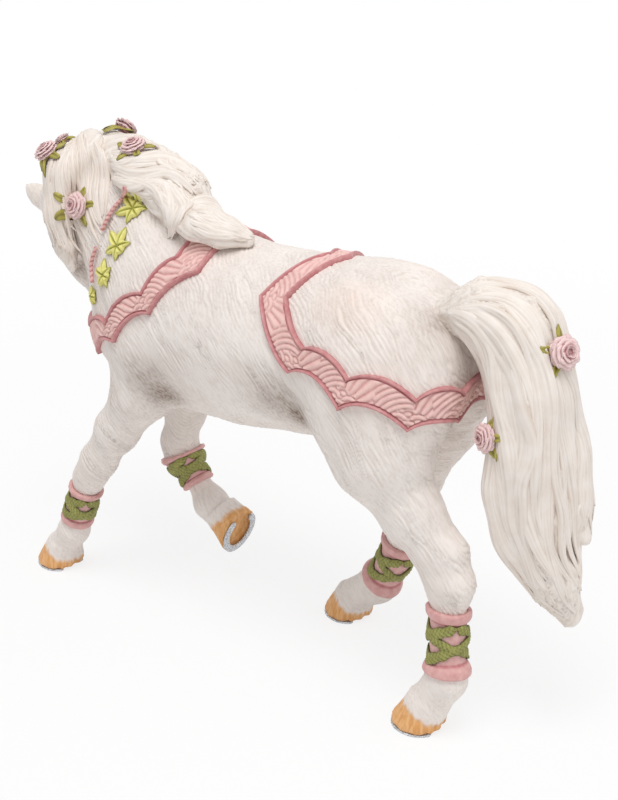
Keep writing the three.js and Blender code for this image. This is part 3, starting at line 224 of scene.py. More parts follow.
# Lines that the locks follow, each a row of points near the surface
CREST_LINES = [
    [(41.5, 3.5, 97), (37, 3.5, 96.5), (32, 3, 97.5), (29, 0, 97.5), (28, -3.5, 95.5)],
    [(40.5, 4.5, 96), (35.5, 5.5, 95.5), (31.5, 5, 96.5), (29.5, 2.5, 97.5), (27.5, -1.5, 96.5),
     (23.5, -1.5, 95), (19.5, 0.5, 94), (18, 1, 92)],
    [(39.5, 5, 95), (32, 7, 95), (28.5, 5, 95.5), (25.5, 3.5, 95.5), (21.5, 3, 94.5), (18.5, 2.5, 93),
     (17.5, 2, 91.5)],
    [(39, 5.5, 93.5), (32, 7.5, 93.5), (28.5, 6.5, 94), (26, 5.5, 94.5), (22, 5.5, 94), (19, 5, 92.5),
     (18, 4, 91.5)],
    [(39.5, 5.5, 92.5), (33, 8, 92.5), (29, 8, 92.5), (25, 7.5, 93), (22.5, 8, 91.5), (21, 9, 89.5),
     (21.5, 9, 86), (22.5, 9, 83)],
    [(25.5, 6.5, 94), (21.5, 7.5, 92), (19, 8.5, 89.5), (18.5, 9.5, 87), (22.5, 8.5, 83.5)],
    [(23.5, 6.5, 93.5), (20.5, 6.5, 92), (17.5, 8, 90), (17.5, 9.5, 88), (22, 8, 84)],
    [(21, 5.5, 93.5), (18.5, 6, 92), (17, 7.5, 90.5), (16, 9.5, 88.5)],
]
WITHERS_LINES = [
    [(17, 7.5, 90.5), (18, 3.5, 91.5), (17.5, 0.5, 91), (16, -1.5, 89.5), (11, 1, 88.5), (8.5, 2.5, 87.5),
     (4.2, 2, 85.6)],
    [(15.5, 8.5, 90), (12.5, 8, 89), (10, 6.5, 88.3), (7, 4.5, 87), (4, 2.4, 85.6)],
    [(14.5, 9.5, 89), (12, 9, 88), (9, 7.5, 87), (6.5, 5, 86), (4.2, 2.8, 85.4)],
    [(15, 6.5, 90.5), (13, 4.5, 90), (9.5, 4.5, 88.8), (6.5, 3.5, 86.5), (3.8, 2.2, 85.6)],
    [(14.5, 10.3, 87.5), (12.5, 9.5, 86.3), (9.5, 8, 85.7), (7, 6, 85.3), (4.4, 3.4, 85.2)],
]
STREAM_LINES = [
    [(57, 1, 96), (57.5, 3.5, 93.5), (56.5, 8, 90), (55, 10, 84.5), (52, 11.5, 80.5)],
    [(55, 2, 97.5), (54.5, 7, 94.5), (52.5, 9.5, 90.5), (50.5, 11, 85.5), (50, 12, 81.5), (48.5, 11, 77.5),
     (49, 8.5, 73)],
    [(52, 2, 98.5), (48.5, 7.5, 95.5), (48.5, 7, 89), (46, 9, 83.5), (43, 10, 80), (39.5, 11.5, 75.5)],
    [(51.5, 1, 99), (46, 6, 95.5), (45.5, 6.5, 90.5), (42, 9, 86), (39.5, 10, 83.5), (36, 11, 82)],
    [(47, 3.5, 99), (44, 4.5, 95.5), (42.5, 6, 91), (40, 9, 86), (39, 10, 83.5)],
    [(46, 3.5, 98.5), (41.5, 5, 96), (40.5, 5, 92), (38.5, 9, 86.5), (38.5, 10, 83.5)],
]
STREAM_FILL = [
    [(56, 4, 96), (53.7, 10.1, 92.9), (55.2, 9.1, 88.3), (51, 12.2, 84.3), (50.1, 11.8, 79)],
    [(53, 5, 97.5), (50.5, 9.8, 94.4), (50, 11, 90.5), (48.9, 11.6, 85.5), (48, 11.2, 79.2), (47.3, 10.3, 74.4)],
    [(50, 4.5, 98), (48.3, 8.9, 94.5), (48, 9.5, 90.5), (48.6, 8.3, 84.5), (47.1, 8.5, 78.8)],
    [(47.5, 3, 98.5), (46.2, 4.8, 96), (45.4, 5.4, 93), (44.6, 6.6, 90), (42.6, 8.8, 86)],
]
RIGHT_LINES = [
    [(47, -3, 97.5), (44, -8, 93), (42.5, -11.5, 86), (41, -13, 79), (39, -13.5, 73.5)],
    [(42, -3, 97.5), (39, -9, 93), (37.5, -12.5, 86), (36.5, -14, 79), (35.5, -14, 72)],
    [(36, -2, 96), (33.5, -8, 92), (32, -12, 86), (32, -13.5, 80), (33, -14, 74)],
]
FORELOCK_LINES = [
    [(56.5, 1, 96.5), (62, -1, 92.5), (65.5, -3, 86), (65.5, -5, 79), (64, -7.5, 73.5)],
    [(56, -1, 97), (63, -3.5, 92.5), (67.5, -5.5, 85), (67, -8, 78), (64.8, -10, 71.5)],
    [(56, -4, 96), (61.5, -7.5, 92), (64.5, -9.5, 85), (64, -11, 78), (62.5, -12, 72)],
]
TAIL_LINES = [
    [(-42, 2.5, 83.5), (-45, -1.5, 85.5), (-48.5, -3.5, 84.5), (-53.5, -4, 84.5), (-57, -5.5, 82), (-59, -5, 78),
     (-60.5, -5, 74), (-62.5, -7, 66), (-65, -7.5, 57.5), (-66, -7, 51.5), (-68, -6, 41)],
    [(-43, 4.5, 82), (-47, 2.5, 85), (-50.5, -0.5, 85), (-56, 0, 84), (-59.5, -0.5, 81), (-61.5, -1, 77),
     (-63.5, -1, 69.5), (-64.5, -2.5, 61.5), (-66, -2, 55.5), (-66.5, -2, 48.5), (-68.5, -4.5, 41)],
    [(-42.5, 5, 81), (-47.5, 4.5, 83.5), (-53, 4, 83.5), (-57.5, 4, 80.5), (-60.5, 3.5, 75), (-62.5, 3.5, 70),
     (-63.5, 3.5, 63.5), (-65, 2.5, 54), (-65.5, 3, 46.5), (-66.5, 2.5, 38), (-68, 0, 31), (-67.5, -4, 26)],
    [(-42, 4.5, 80.5), (-47.5, 5, 82), (-52, 6, 81), (-56, 6, 78), (-58.5, 6, 73), (-60, 6.5, 68.5), (-62, 6, 61),
     (-61.5, 7.5, 55), (-61, 7, 49), (-62.5, 6.5, 43.5), (-65, 4, 36.5), (-68, -0.5, 29)],
    [(-41.5, 4.5, 80.5), (-46.5, 5.5, 81.5), (-50.5, 6, 79), (-52.5, 6.5, 75), (-54, 6.5, 70), (-56, 7, 65),
     (-57.5, 8, 58), (-57, 8, 52), (-57.5, 7.5, 46), (-60, 6, 40.5), (-63.5, 4, 33.5), (-67, 0, 27)],
    [(-40.5, 4, 80), (-46, 5.5, 80.5), (-48, 5.5, 78), (-50, 4, 72), (-52, 4, 66.5), (-54, 6, 61), (-52.8, 7, 54.5),
     (-53.7, 7.5, 49), (-55, 6.5, 43), (-58.5, 5.5, 36.5), (-62.5, 2.5, 30), (-67, -1, 25)],
]


def mirrored(lines, middle):
    """The same lines on the far side of a plane of constant y."""
    return [[(x, 2 * middle - y, z) for x, y, z in line] for line in lines]


# The locks that the solids have too: lines, the plane some are mirrored across, and their radius
LOCK_DEPTH = 0.4
LOCKS = {
    "mane_crest": ([CREST_LINES[i] for i in (1, 2, 4)], [], 0, 1.15),
    "tail_main": (TAIL_LINES, TAIL_LINES[3:], -0.8, 1.25),
}

# Bands: edge points from the spine to the middle of the chest or rump, and how far each arch bulges
COLLAR = dict(
    upper=[((15.5, 0, 87), 0), ((17.4, 11, 81.3), 0.4), ((22.6, 15.1, 73.8), 1.5), ((32.4, 15.5, 65.6), 2),
           ((42.5, 8.5, 61.5), 1.8), ((45.7, 0, 62), 1.2)],
    lower=[((9.5, 0, 86), 0), ((10.5, 12, 79.5), 0.4), ((19.4, 16.3, 70), 1.5), ((28.7, 16.8, 62.4), 2),
           ((41.5, 9.5, 54.8), 1.8), ((45.2, 0, 55.5), 1.2)],
    lift=(0.25, 0, 1),
)
CRUPPER = dict(
    upper=[((-17.5, 0, 86), 0), ((-12.2, 12.6, 79.3), -0.6), ((-20, 16.9, 72.6), -1), ((-30.5, 17.6, 69.4), 1.9),
           ((-42.4, 13.9, 67.4), 2.2), ((-47, 6.5, 67.6), 1.8), ((-47, 0, 69), 0.3)],
    lower=[((-12.3, 0, 85.6), 0), ((-5.9, 13, 78.3), -0.6), ((-16.5, 16.9, 66.8), -1.6), ((-29.4, 18.8, 63.3), 2.6),
           ((-40.9, 14.6, 61.2), 2.6), ((-46.5, 7, 61.4), 1.8), ((-46.5, 0, 62.8), 0.3)],
    lift=(0, 0, 1),
)

# Small trim: where it lies, near enough, and its size or the way it points
ROSE_RADIUS, ROSE_HEIGHT, SEPAL_REACH, SEPAL_WALL, LEAF_WALL = 2.5, 2.6, 4.0, 0.55, 0.8
ROSES = [
    ((54.5, 8, 95), 1.1), ((45.6, 8.3, 86), 1.15), ((47.5, -5, 98), 1.1), ((35.4, 2.2, 97.2), 1.1),
    ((59.8, -0.8, 95.5), 0.8), ((-62, -0.5, 76.2), 1.25), ((-53.8, 7.8, 61), 1.1),
]
LEAVES = [
    ((31, 7.9, 87.6), 140, 5.2), ((31.2, 12.2, 80.9), 150, 4.9), ((33.8, 13.8, 74.8), 175, 4.2),
    ((38.8, 12.6, 69.1), 185, 2.9),
]
BEAD_RADIUS, BEAD_PITCH = 0.62, 1.5
CORDS = {
    "cord_upper": [(32.4, 7.8, 92.4), (35.4, 8.3, 87.3), (37, 10.4, 82.7)],
    "cord_lower": [(37.9, 11.1, 79.2), (38.9, 11.5, 75.5), (37.9, 12.5, 72.2)],
}

# Arithmetic on rows of points


def unit(v):
    v = np.asarray(v, float)
    return v / np.maximum(np.linalg.norm(v, axis=-1, keepdims=True), 1e-12)


def ways(path):
    """The unit way along a row of points at each of them."""
    return unit(np.gradient(path, axis=0))


def read_at(at, marks, rows):
    """Rows of three numbers read off between their marks."""
    return np.stack([np.interp(at, marks, rows[:, i]) for i in range(3)], 1)


def around(count):
    """Angles spread evenly round a circle."""
    return np.linspace(0, 2 * math.pi, count, endpoint=False)


def smooth(low, high, x):
    t = np.clip((x - low) / (high - low), 0, 1)
    return t * t * (3 - 2 * t)


def noise(p, seed=0):
    """Smooth noise from -1 to 1 with features about one unit wide."""
    table = np.random.default_rng(seed).uniform(-1, 1, 4096)
    cell = np.floor(p).astype(np.int64)
    f = p - cell
    f = f * f * (3 - 2 * f)
    total = 0
    for corner in np.ndindex(2, 2, 2):
        x, y, z = (cell + corner).T
        weight = np.prod(np.where(corner, f, 1 - f), axis=1)
        total = total + weight * table[(x * 73856093 ^ y * 19349663 ^ z * 83492791) & 4095]
    return total


def curve(points, count):
    """Evenly spaced points of a smooth line through the given ones."""
    p = np.array(points, float)
    p = np.vstack([2 * p[0] - p[1], p, 2 * p[-1] - p[-2]])
    t = np.linspace(0, 1, 24)[:, None]
    rows = []
    for x0, x1, x2, x3 in zip(p, p[1:], p[2:], p[3:]):
        d0, d1, d2 = (np.sqrt(np.linalg.norm(b - a)) + 1e-6 for a, b in ((x0, x1), (x1, x2), (x2, x3)))
        m1 = d1 * ((x1 - x0) / d0 - (x2 - x0) / (d0 + d1) + (x2 - x1) / d1)
        m2 = d1 * ((x2 - x1) / d1 - (x3 - x1) / (d1 + d2) + (x3 - x2) / d2)
        rows.append(x1 + m1 * t + (3 * (x2 - x1) - 2 * m1 - m2) * t**2 + (2 * (x1 - x2) + m1 + m2) * t**3)
    fine = np.vstack(rows)
    run = np.concatenate([[0], np.cumsum(np.linalg.norm(np.diff(fine, axis=0), axis=1))])
    return read_at(np.linspace(0, run[-1], count), run, fine)


def length_of(points):
    return np.linalg.norm(np.diff(np.array(points, float), axis=0), axis=1).sum()


# Signed distances, near enough
TINY = 1e-9
FAR = 30.0  # stands for any large distance, in mm


def blended(a, b, k):
    h = np.maximum(k - np.abs(a - b), 0) / k
    return np.minimum(a, b) - h * h * k * 0.25


def within(fun, points, reach):
    """Runs fun only near the given points; elsewhere the distance is just large."""
    low, high = np.min(points, 0) - reach, np.max(points, 0) + reach

    def field(p):
        near = ((p > low) & (p < high)).all(-1)
        d = np.full(len(p), FAR)
        if near.any():
            d[near] = fun(p[near])
        return d

    return field


def limb(joints, blend, lateral=(0, 1, 0)):
    lateral = np.array(lateral, float)
    spans = []
    for a, b in zip(np.array(joints, float), np.array(joints, float)[1:]):
        w = b[:3] - a[:3]
        size = np.linalg.norm(w)
        w = w / size
        v = unit(lateral - (lateral @ w) * w)
        spans.append((a, b, w, v, np.cross(v, w), size))

    def field(p):
        d = None
        for a, b, w, v, u, size in spans:
            q = p - a[:3]
            t = np.clip(q @ w / size, 0, 1)
            deep, wide = a[3] + (b[3] - a[3]) * t, a[4] + (b[4] - a[4]) * t
            qu, qv, qw = q @ u, q @ v, q @ w - t * size
            k = np.sqrt((qu / deep) ** 2 + (qv / wide) ** 2 + (qw / np.minimum(deep, wide)) ** 2) + TINY
            value = (np.sqrt(qu * qu + qv * qv + qw * qw) + TINY) * (1 - 1 / k)
            d = value if d is None else blended(d, value, blend)
        return d

    return within(field, np.array(joints, float)[:, :3], 20)


def ellipsoid(centre, axes, radii, room):
    centre, radii = np.array(centre, float), np.array(radii, float)

    def field(p):
        q = (p - centre) @ axes
        k = np.sqrt(((q / radii) ** 2).sum(-1)) + TINY
        return np.linalg.norm(q, axis=-1) * (1 - 1 / k)

    return within(field, [centre], max(radii) + room)


def mass(centre, radii, pitch):
    """An ellipsoid pitched about the crosswise axis."""
    c, s = math.cos(math.radians(pitch)), math.sin(math.radians(pitch))
    return ellipsoid(centre, np.array([[c, 0, s], [0, 1, 0], [-s, 0, c]]), radii, 12)


def joined(fields, k):
    def field(p):
        d = fields[0](p)
        for other in fields[1:]:
            d = blended(d, other(p), k)
        return d

    return field


def gradient(field, p, e=0.06):
    steps = np.eye(3) * e
    return np.stack([field(p + s) - field(p - s) for s in steps], -1) / (2 * e)


def settle(field, p, level=0.0, rounds=4):
    for _ in range(rounds):
        g = gradient(field, p)
        size = np.maximum((g * g).sum(-1), 0.06)
        p = p + g * (np.clip(level - field(p), -1.5, 1.5) / size)[:, None]
    return p


head_forward = np.array([math.cos(HEAD_TURN), -math.sin(HEAD_TURN), 0])
head_aside = np.array([math.sin(HEAD_TURN), math.cos(HEAD_TURN), 0])
HEAD_OUT = head_forward * math.cos(HEAD_TUCK) - np.array([0, 0, math.sin(HEAD_TUCK)])
head_hang = -head_forward * math.sin(HEAD_TUCK) - np.array([0, 0, math.cos(HEAD_TUCK)])
HEAD_DOWN = head_hang * math.cos(HEAD_LEAN) - head_aside * math.sin(HEAD_LEAN)
HEAD_LEFT = np.cross(HEAD_OUT, HEAD_DOWN)
HEAD_AXES = np.array([HEAD_DOWN, HEAD_LEFT, HEAD_OUT])


def head_point(along, left, out):
    return POLL + np.array([along, left, out]) @ HEAD_AXES


def head_mass(place, radii, side=1):
    """An ellipsoid set square to the head."""
    along, left, out = place
    return ellipsoid(head_point(along, left * side, out), HEAD_AXES.T, radii, 8)


def head_shape():
    skull = [(*head_point(s * HEAD_LENGTH, 0, out), deep, wide) for s, out, deep, wide in SKULL]
    base = joined([limb(skull, 3, HEAD_LEFT)] + [
        head_mass((0.2 * HEAD_LENGTH, 3.2, -6.2), (5.2, 2.6, 5), side) for side in (1, -1)
    ], 2.5)
    raised, sunk = ([(head_mass(place, radii, side), k) for side in (1, -1) for place, radii, k in table]
                    for table in (HEAD_RAISED, HEAD_SUNK))
    raised.append((head_mass(*CHIN[:2]), CHIN[2]))

    def field(p):
        d = base(p)
        for other, k in raised:
            d = blended(d, other(p), k)
        for other, k in sunk:
            d = -blended(-d, other(p), k)
        return d

    return within(field, np.array(skull)[:, :3], 18)


def hoof_axes(hoof):
    toe = unit(hoof[1])
    up = np.array(hoof[2], float)
    up = unit(up - (up @ toe) * toe)
    return np.array([toe, np.cross(up, toe), up])


def hoof_local(hoof, p):
    return (p - np.array(hoof[0], float)) @ hoof_axes(hoof).T


def hoof_shape(hoof):
    def field(p):
        x, y, z = hoof_local(hoof, p).T
        h = z - SOLE
        rise = h / HOOF_HEIGHT
        scale = np.interp(rise, *HOOF_PROFILE)
        q = x + HOOF_SLOPE * h
        q = np.where(q < 0, q / HEEL_SHARE, q)
        angle = np.arctan2(y, q)
        cleft = 0.075 * np.exp(-(((np.abs(angle) - math.pi) / 0.16) ** 2)) * smooth(1.1, 0.2, rise)
        side = (np.hypot(q / (HOOF_LENGTH / 2), y / (HOOF_WIDTH / 2)) - scale + cleft) * 4.6
        top = h - CORONET_RISE * q * rise - HOOF_HEIGHT
        hollow = 0.75 * smooth(4.4, 2.6, np.hypot(x * 0.93, y))
        return np.maximum(np.maximum(side, -h + hollow), top)

    return within(field, [hoof[0]], 14)


# How softly neighbouring shapes run into each other, in mm
BODY_BLEND, NECK_BLEND, LEG_BLEND, JOINT_BLEND, HOOF_BLEND, HAIR_BLEND, LOCK_BLEND = 6, 7, 5, 2.5, 1.3, 3, 0.8

trunk_field = joined([limb(TRUNK, BODY_BLEND)] + [mass(*m) for m in MUSCLES], BODY_BLEND)
neck_field = limb(NECK, BODY_BLEND)
head_field = head_shape()
leg_fields = {name: limb(leg["joints"], JOINT_BLEND) for name, leg in LEGS.items()}
hoof_fields = {name: hoof_shape(leg["hoof"]) for name, leg in LEGS.items()}
hair_fields = {name: limb(joints, HAIR_BLEND, side) for name, (joints, side) in HAIR.items()}


def lock_fields(core, lines, far_lines, middle, radius):
    """The core with its main locks half sunk into it."""
    fields = [core]
    for line in lines + mirrored(far_lines, middle):
        points = settle(core, np.array(line, float), -LOCK_DEPTH)
        size = np.full(len(points), radius)
        size[[0, -1]] = radius * 0.5
        fields.append(limb([(*p, r, r) for p, r in zip(points, size)], 0.5))
    return joined(fields, LOCK_BLEND)


def coat_field(p):
    """The bare coat as the solids have it."""
    d = blended(trunk_field(p), neck_field(p), NECK_BLEND)
    along = (p - POLL) @ HEAD_DOWN
    d = blended(d, head_field(p), np.clip(4 - (along - 8) * 0.45, 0.5, 4))
    for leg in leg_fields.values():
        d = blended(d, leg(p), LEG_BLEND)
    return d


def skin_field(p):
    """The coat with the hooves grown on."""
    d = coat_field(p)
    for hoof in hoof_fields.values():
        d = blended(d, hoof(p), HOOF_BLEND)
    return d


for lock_name, lock_shape in LOCKS.items():
    hair_fields[lock_name] = lock_fields(hair_fields[lock_name], *lock_shape)


def hair_field(p):
    return np.minimum.reduce([f(p) for f in hair_fields.values()])


def core_field(p):
    """What the locks and the small trim lie on."""
    return np.minimum(coat_field(p), hair_field(p))


def reach(field, start, way, far, level):
    """How far along each way from inside the field climbs to the level."""
    inside, outside = np.zeros(len(start)), np.full(len(start), float(far))
    for _ in range(14):
        m = (inside + outside) / 2
        out = field(start + way * m[:, None]) > level
        outside = np.where(out, m, outside)
        inside = np.where(out, inside, m)
    return (inside + outside) / 2


# Meshes


def grid_faces(rows, columns, closed):
    """Quads between rings of points, and from the last ring to the first where closed."""
    i = np.arange(rows if closed else rows - 1)[:, None]
    j = np.arange(columns)[None]
    this, after = i * columns, (i + 1) % rows * columns
    j2 = (j + 1) % columns
    return np.stack(np.broadcast_arrays(this + j, this + j2, after + j2, after + j), -1).reshape(-1, 4)


def turned_out(p, quads, tris):
    """The faces, flipped where they would enclose a negative volume."""
    volume = 0.0
    for f in (quads[:, :3], quads[:, [0, 2, 3]], tris):
        if len(f):
            volume += np.einsum("ij,ij->", p[f[:, 0]], np.cross(p[f[:, 1]], p[f[:, 2]]))
    return (quads, tris) if volume > 0 else (quads[:, ::-1], tris[:, ::-1])


def loft(rings, closed=False, **attributes):
    """A closed body from rings of points; each attribute has one value per ring point."""
    rings = np.asarray(rings, float)
    n, s = rings.shape[:2]
    p = rings.reshape(-1, 3)
    quads = grid_faces(n, s, closed)
    tris = np.zeros((0, 3), int)
    values = {k: np.broadcast_to(v, (n, s)).reshape(-1) for k, v in attributes.items()}
    if not closed:
        ends = [rings[0].mean(0), rings[-1].mean(0)]
        j = np.arange(s)
        k = (j + 1) % s
        last = (n - 1) * s
        tris = np.concatenate([
            np.stack([np.full(s, n * s), k, j], 1),
            np.stack([np.full(s, n * s + 1), last + j, last + k], 1),
        ])
        p = np.vstack([p, ends])
        values = {k: np.append(v, [v[:s].mean(), v[-s:].mean()]) for k, v in values.items()}
    quads, tris = turned_out(p, quads, tris)
    return p, quads, tris, values


def merged(parts):
    """Several parts as one; an attribute that a part lacks is zero on it."""
    names = sorted({k for part in parts for k in part[3]})
    points, quads, tris = [], [], []
    values = {k: [] for k in names}
    start = 0
    for p, q, t, a in parts:
        points.append(p)
        quads.append(q + start)
        tris.append(t + start)
        for k in names:
            values[k].append(a.get(k, np.zeros(len(p))))
        start += len(p)
    return (np.vstack(points), np.vstack(quads), np.vstack(tris), {k: np.concatenate(v) for k, v in values.items()})


SOLIDS_BOX = np.array([list(corner) for corner in cad_box]) * 1000
EASE = 1.5  # locks are eased back from the ends of the box over this depth


def inside_box(p):
    """Points of a piece kept within the solids' box, in their order from front to back."""
    reach = SOLIDS_BOX[1, 0] - EASE
    over = np.maximum(np.abs(p[:, 0]) - reach, 0)
    x = np.where(over > 0, np.sign(p[:, 0]) * (reach + EASE * (1 - np.exp(-over / EASE))), p[:, 0])
    return np.clip(np.stack([x, p[:, 1], p[:, 2]], 1), *SOLIDS_BOX)


def piece(name, part, material, nodes):
    """One object of the figure, riding on its one body in place of the named solids."""
    p, quads, tris, values = part
    mesh = bpy.data.meshes.new(name)
    corners = np.concatenate([np.ravel(quads), np.ravel(tris)]).astype(np.int32)
    starts = np.concatenate([np.arange(len(quads)) * 4, len(quads) * 4 + np.arange(len(tris)) * 3])
    mesh.vertices.add(len(p))
    mesh.vertices.foreach_set("co", (inside_box(p + SHIFT) / 1000).astype(np.float32).ravel())
    mesh.loops.add(len(corners))
    mesh.loops.foreach_set("vertex_index", corners)
    mesh.polygons.add(len(starts))
    mesh.polygons.foreach_set("loop_start", starts.astype(np.int32))
    for key, value in values.items():
        mesh.attributes.new(key, "FLOAT", "POINT").data.foreach_set("value", value.astype(np.float32))
    mesh.update(calc_edges=True)
    mesh.validate()
    mesh.shade_smooth()
    mesh.materials.append(material)
    item = bpy.data.objects.new(name, mesh)
    bpy.context.scene.collection.objects.link(item)
    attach(item, "root")
    if nodes:
        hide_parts(*nodes)
    return item


def vertex_normals(p, quads):
    a, b, c, d = (p[quads[:, i]] for i in range(4))
    face = np.cross(c - a, d - b)
    total = np.zeros_like(p)
    for i in range(4):
        np.add.at(total, quads[:, i], face)
    return unit(total)


def skin_mesh(field, low, high, step, coarse=4):
    """Surface nets over a narrow band, each point settled on the surface."""
    low, high = np.array(low, float), np.array(high, float)
    n = np.ceil((high - low) / step / coarse).astype(int) * coarse
    rough = [low[i] + np.arange(n[i] // coarse + 1) * step * coarse for i in range(3)]
    corners = np.stack(np.meshgrid(*rough, indexing="ij"), -1)
    values = field(corners.reshape(-1, 3)).reshape(corners.shape[:3])
    near = np.abs(values) < step * coarse * 1.9
    blocks = np.zeros(n // coarse, bool)
    shape = np.array(near.shape) - 1
    for d in np.ndindex(2, 2, 2):
        blocks |= near[tuple(slice(k, k + s) for k, s in zip(d, shape))]
    fine = values.astype(np.float32)
    for axis in range(3):
        fine = np.repeat(fine, coarse, axis)
        blocks = np.repeat(blocks, coarse, axis)
    fine = fine[tuple(slice(0, k + 1) for k in n)].copy()
    need = np.zeros(n + 1, bool)
    for d in np.ndindex(2, 2, 2):
        need[tuple(slice(k, k + s) for k, s in zip(d, n))] |= blocks
    cells = np.argwhere(need)
    fine[need] = np.concatenate([
        field(low + cells[s:s + 300000] * step) for s in range(0, len(cells), 300000)
    ])
    inside = fine < 0
    total = np.zeros((*n, 3), np.float32)
    count = np.zeros(n, np.int16)
    faces = []
    for axis in range(3):
        first, second = [slice(None)] * 3, [slice(None)] * 3
        first[axis], second[axis] = slice(0, n[axis]), slice(1, n[axis] + 1)
        edge = np.argwhere(inside[tuple(first)] != inside[tuple(second)])
        others = [a for a in range(3) if a != axis]
        for a in others:
            edge = edge[(edge[:, a] > 0) & (edge[:, a] < n[a])]
        after = edge.copy()
        after[:, axis] += 1
        f0, f1 = fine[tuple(edge.T)], fine[tuple(after.T)]
        at = edge.astype(float)
        at[:, axis] += f0 / (f0 - f1)
        ring = []
        for back in ((1, 1), (0, 1), (0, 0), (1, 0)):
            cell = edge.copy()
            cell[:, others] -= back
            ring.append(cell)
            np.add.at(total, tuple(cell.T), at)
            np.add.at(count, tuple(cell.T), 1)
        quad = np.stack(ring, 1)
        flip = (f0 < 0) if axis != 1 else (f0 >= 0)
        quad[~flip] = quad[~flip][:, ::-1]
        faces.append(quad)
    used = count > 0
    number = np.full(n, -1)
    number[used] = np.arange(used.sum())
    p = low + (total[used] / count[used][:, None]) * step
    quads = np.concatenate(faces)
    quads = number[quads[..., 0], quads[..., 1], quads[..., 2]]
    p = settle(field, p.astype(float), 0.0, 2)
    quads, _ = turned_out(p, quads, np.zeros((0, 3), int))
    return p, quads


# Materials


def linear(code):
    """A linear colour from six hexadecimal digits."""
    values = [int(code[i:i + 2], 16) / 255 for i in (0, 2, 4)]
    return (*[v / 12.92 if v <= 0.04045 else ((v + 0.055) / 1.055) ** 2.4 for v in values], 1)


class Graph:
    """The nodes of a new material or world, made by name."""

    def __init__(self, name, family=bpy.data.materials):
        self.owner = family.new(name)
        self.owner.use_nodes = True
        self.nodes = self.owner.node_tree.nodes
        self.links = self.owner.node_tree.links

    def node(self, kind, inputs, out=0, **settings):
        """An output of a new node, its inputs given by number or name."""
        made = self.nodes.new("ShaderNode" + kind)
        for key, value in settings.items():
            setattr(made, key, value)
        for key, value in (inputs if isinstance(inputs, dict) else dict(enumerate(inputs))).items():
            self.put(made.inputs[key], value)
        return made.outputs[out]

    def put(self, socket, value):
        if isinstance(value, bpy.types.NodeSocket):
            self.links.new(value, socket)
        else:
            socket.default_value = value

    @property
    def place(self):
        return self.node("TexCoord", {}, "Object")

    def attribute(self, name):
        return self.node("Attribute", {}, "Fac", attribute_name=name)

    def product(self, a, b):
        return self.node("Math", (a, b), operation="MULTIPLY", use_clamp=True)

    def span(self, value, low, high, to_low=0.0, to_high=1.0):
        """The value carried from one range to another, and kept within it."""
        return self.node("MapRange", (value, low, high, to_low, to_high))

    def noise(self, size, stretch=(1, 1, 1), turn=(0, 0, 0), detail=2.0, rough=0.5):
        """Noise with features of the given size in mm, drawn out along turned axes."""
        grain = {"Vector": self.place, "Rotation": turn, "Scale": [size * share / 1000 for share in stretch]}
        place = self.node("Mapping", grain, vector_type="TEXTURE")
        return self.node("TexNoise", {"Vector": place, "Scale": 1.0, "Detail": detail, "Roughness": rough}, "Fac")

    def mix(self, share, a, b):
        return self.node("Mix", {0: share, 6: a, 7: b}, 2, data_type="RGBA")

    def bump(self, height, distance, before=None):
        inputs = {"Height": height, "Distance": distance / 1000, "Strength": 1.0}
        return self.node("Bump", inputs if before is None else {**inputs, "Normal": before})

    def seen(self):
        """One where the camera sees it, straight or in a gloss, and zero where it lights."""
        rays = [self.node("LightPath", {}, f"Is {kind} Ray") for kind in ("Camera", "Glossy")]
        return self.node("Math", rays, operation="MAXIMUM")

    def finish(self, colour, roughness, normal, metallic=0.0, specular=0.4):
        shader = self.nodes["Principled BSDF"]
        for key, value in {"Base Color": colour, "Roughness": roughness, "Metallic": metallic,
                           "Specular IOR Level": specular, "Normal": normal}.items():
            self.put(shader.inputs[key], value)
        return self.owner


HAIR_LEAN = (0, math.radians(40), 0)


def coat_material():
    g = Graph("coat_paint")
    strokes = g.noise(0.5, (1, 1, 7), HAIR_LEAN, 2, 0.55)
    broad = g.noise(9)
    patchy = g.noise(2.2, (1, 1, 2.5), HAIR_LEAN, 3)
    colour = g.mix(g.span(broad, 0.35, 0.65), linear("f3ebe5"), linear("eee5df"))
    # Painted shade: darker in the valleys of the fine strokes, and in the sunk grooves that a mesh attribute marks.
    colour = g.mix(g.product(g.span(strokes, 0.52, 0.36), 0.26), colour, linear("cdbfb4"))
    colour = g.mix(g.product(g.attribute("recess"), 0.6), colour, linear("c3b2a4"))
    # Grey from a mesh attribute: airbrushed grey paint, with painted shade in creases, under the body and in
    # hollows; stronger in the strokes' valleys.
    grey = g.product(g.attribute("grey"), g.span(strokes, 0.36, 0.6, 1.15, 0.7))
    colour = g.mix(grey, colour, linear("857060"))
    peach = g.product(g.attribute("peach"), g.span(patchy, 0.3, 0.7, 0.7, 1.1))
    colour = g.mix(peach, colour, linear("ecc9b6"))
    stripe = g.noise(0.55, (1, 1, 9), (0, 0, 0), 2)
    horn = g.mix(g.span(stripe, 0.38, 0.62), linear("dc9f5f"), linear("ecb880"))
    colour = g.mix(g.attribute("horn"), colour, horn)
    normal = g.bump(g.noise(0.16), 0.01, g.bump(strokes, 0.11))
    return g.finish(colour, g.span(patchy, 0.3, 0.7, 0.5, 0.62), normal)


def hair_material():
    g = Graph("hair_paint")
    patchy = g.noise(3)
    colour = g.mix(g.span(patchy, 0.35, 0.65), linear("f5eee7"), linear("f0e6dd"))
    # Painted shade in the hair's grooves and between its locks.
    colour = g.mix(g.product(g.attribute("recess"), 0.7), colour, linear("c4b09f"))
    colour = g.mix(g.product(g.attribute("peach"), 0.8), colour, linear("e6c9b4"))
    normal = g.bump(g.noise(0.22, (1, 1, 1), (0, 0, 0), 3), 0.03)
    return g.finish(colour, g.span(patchy, 0.3, 0.7, 0.48, 0.6), normal)


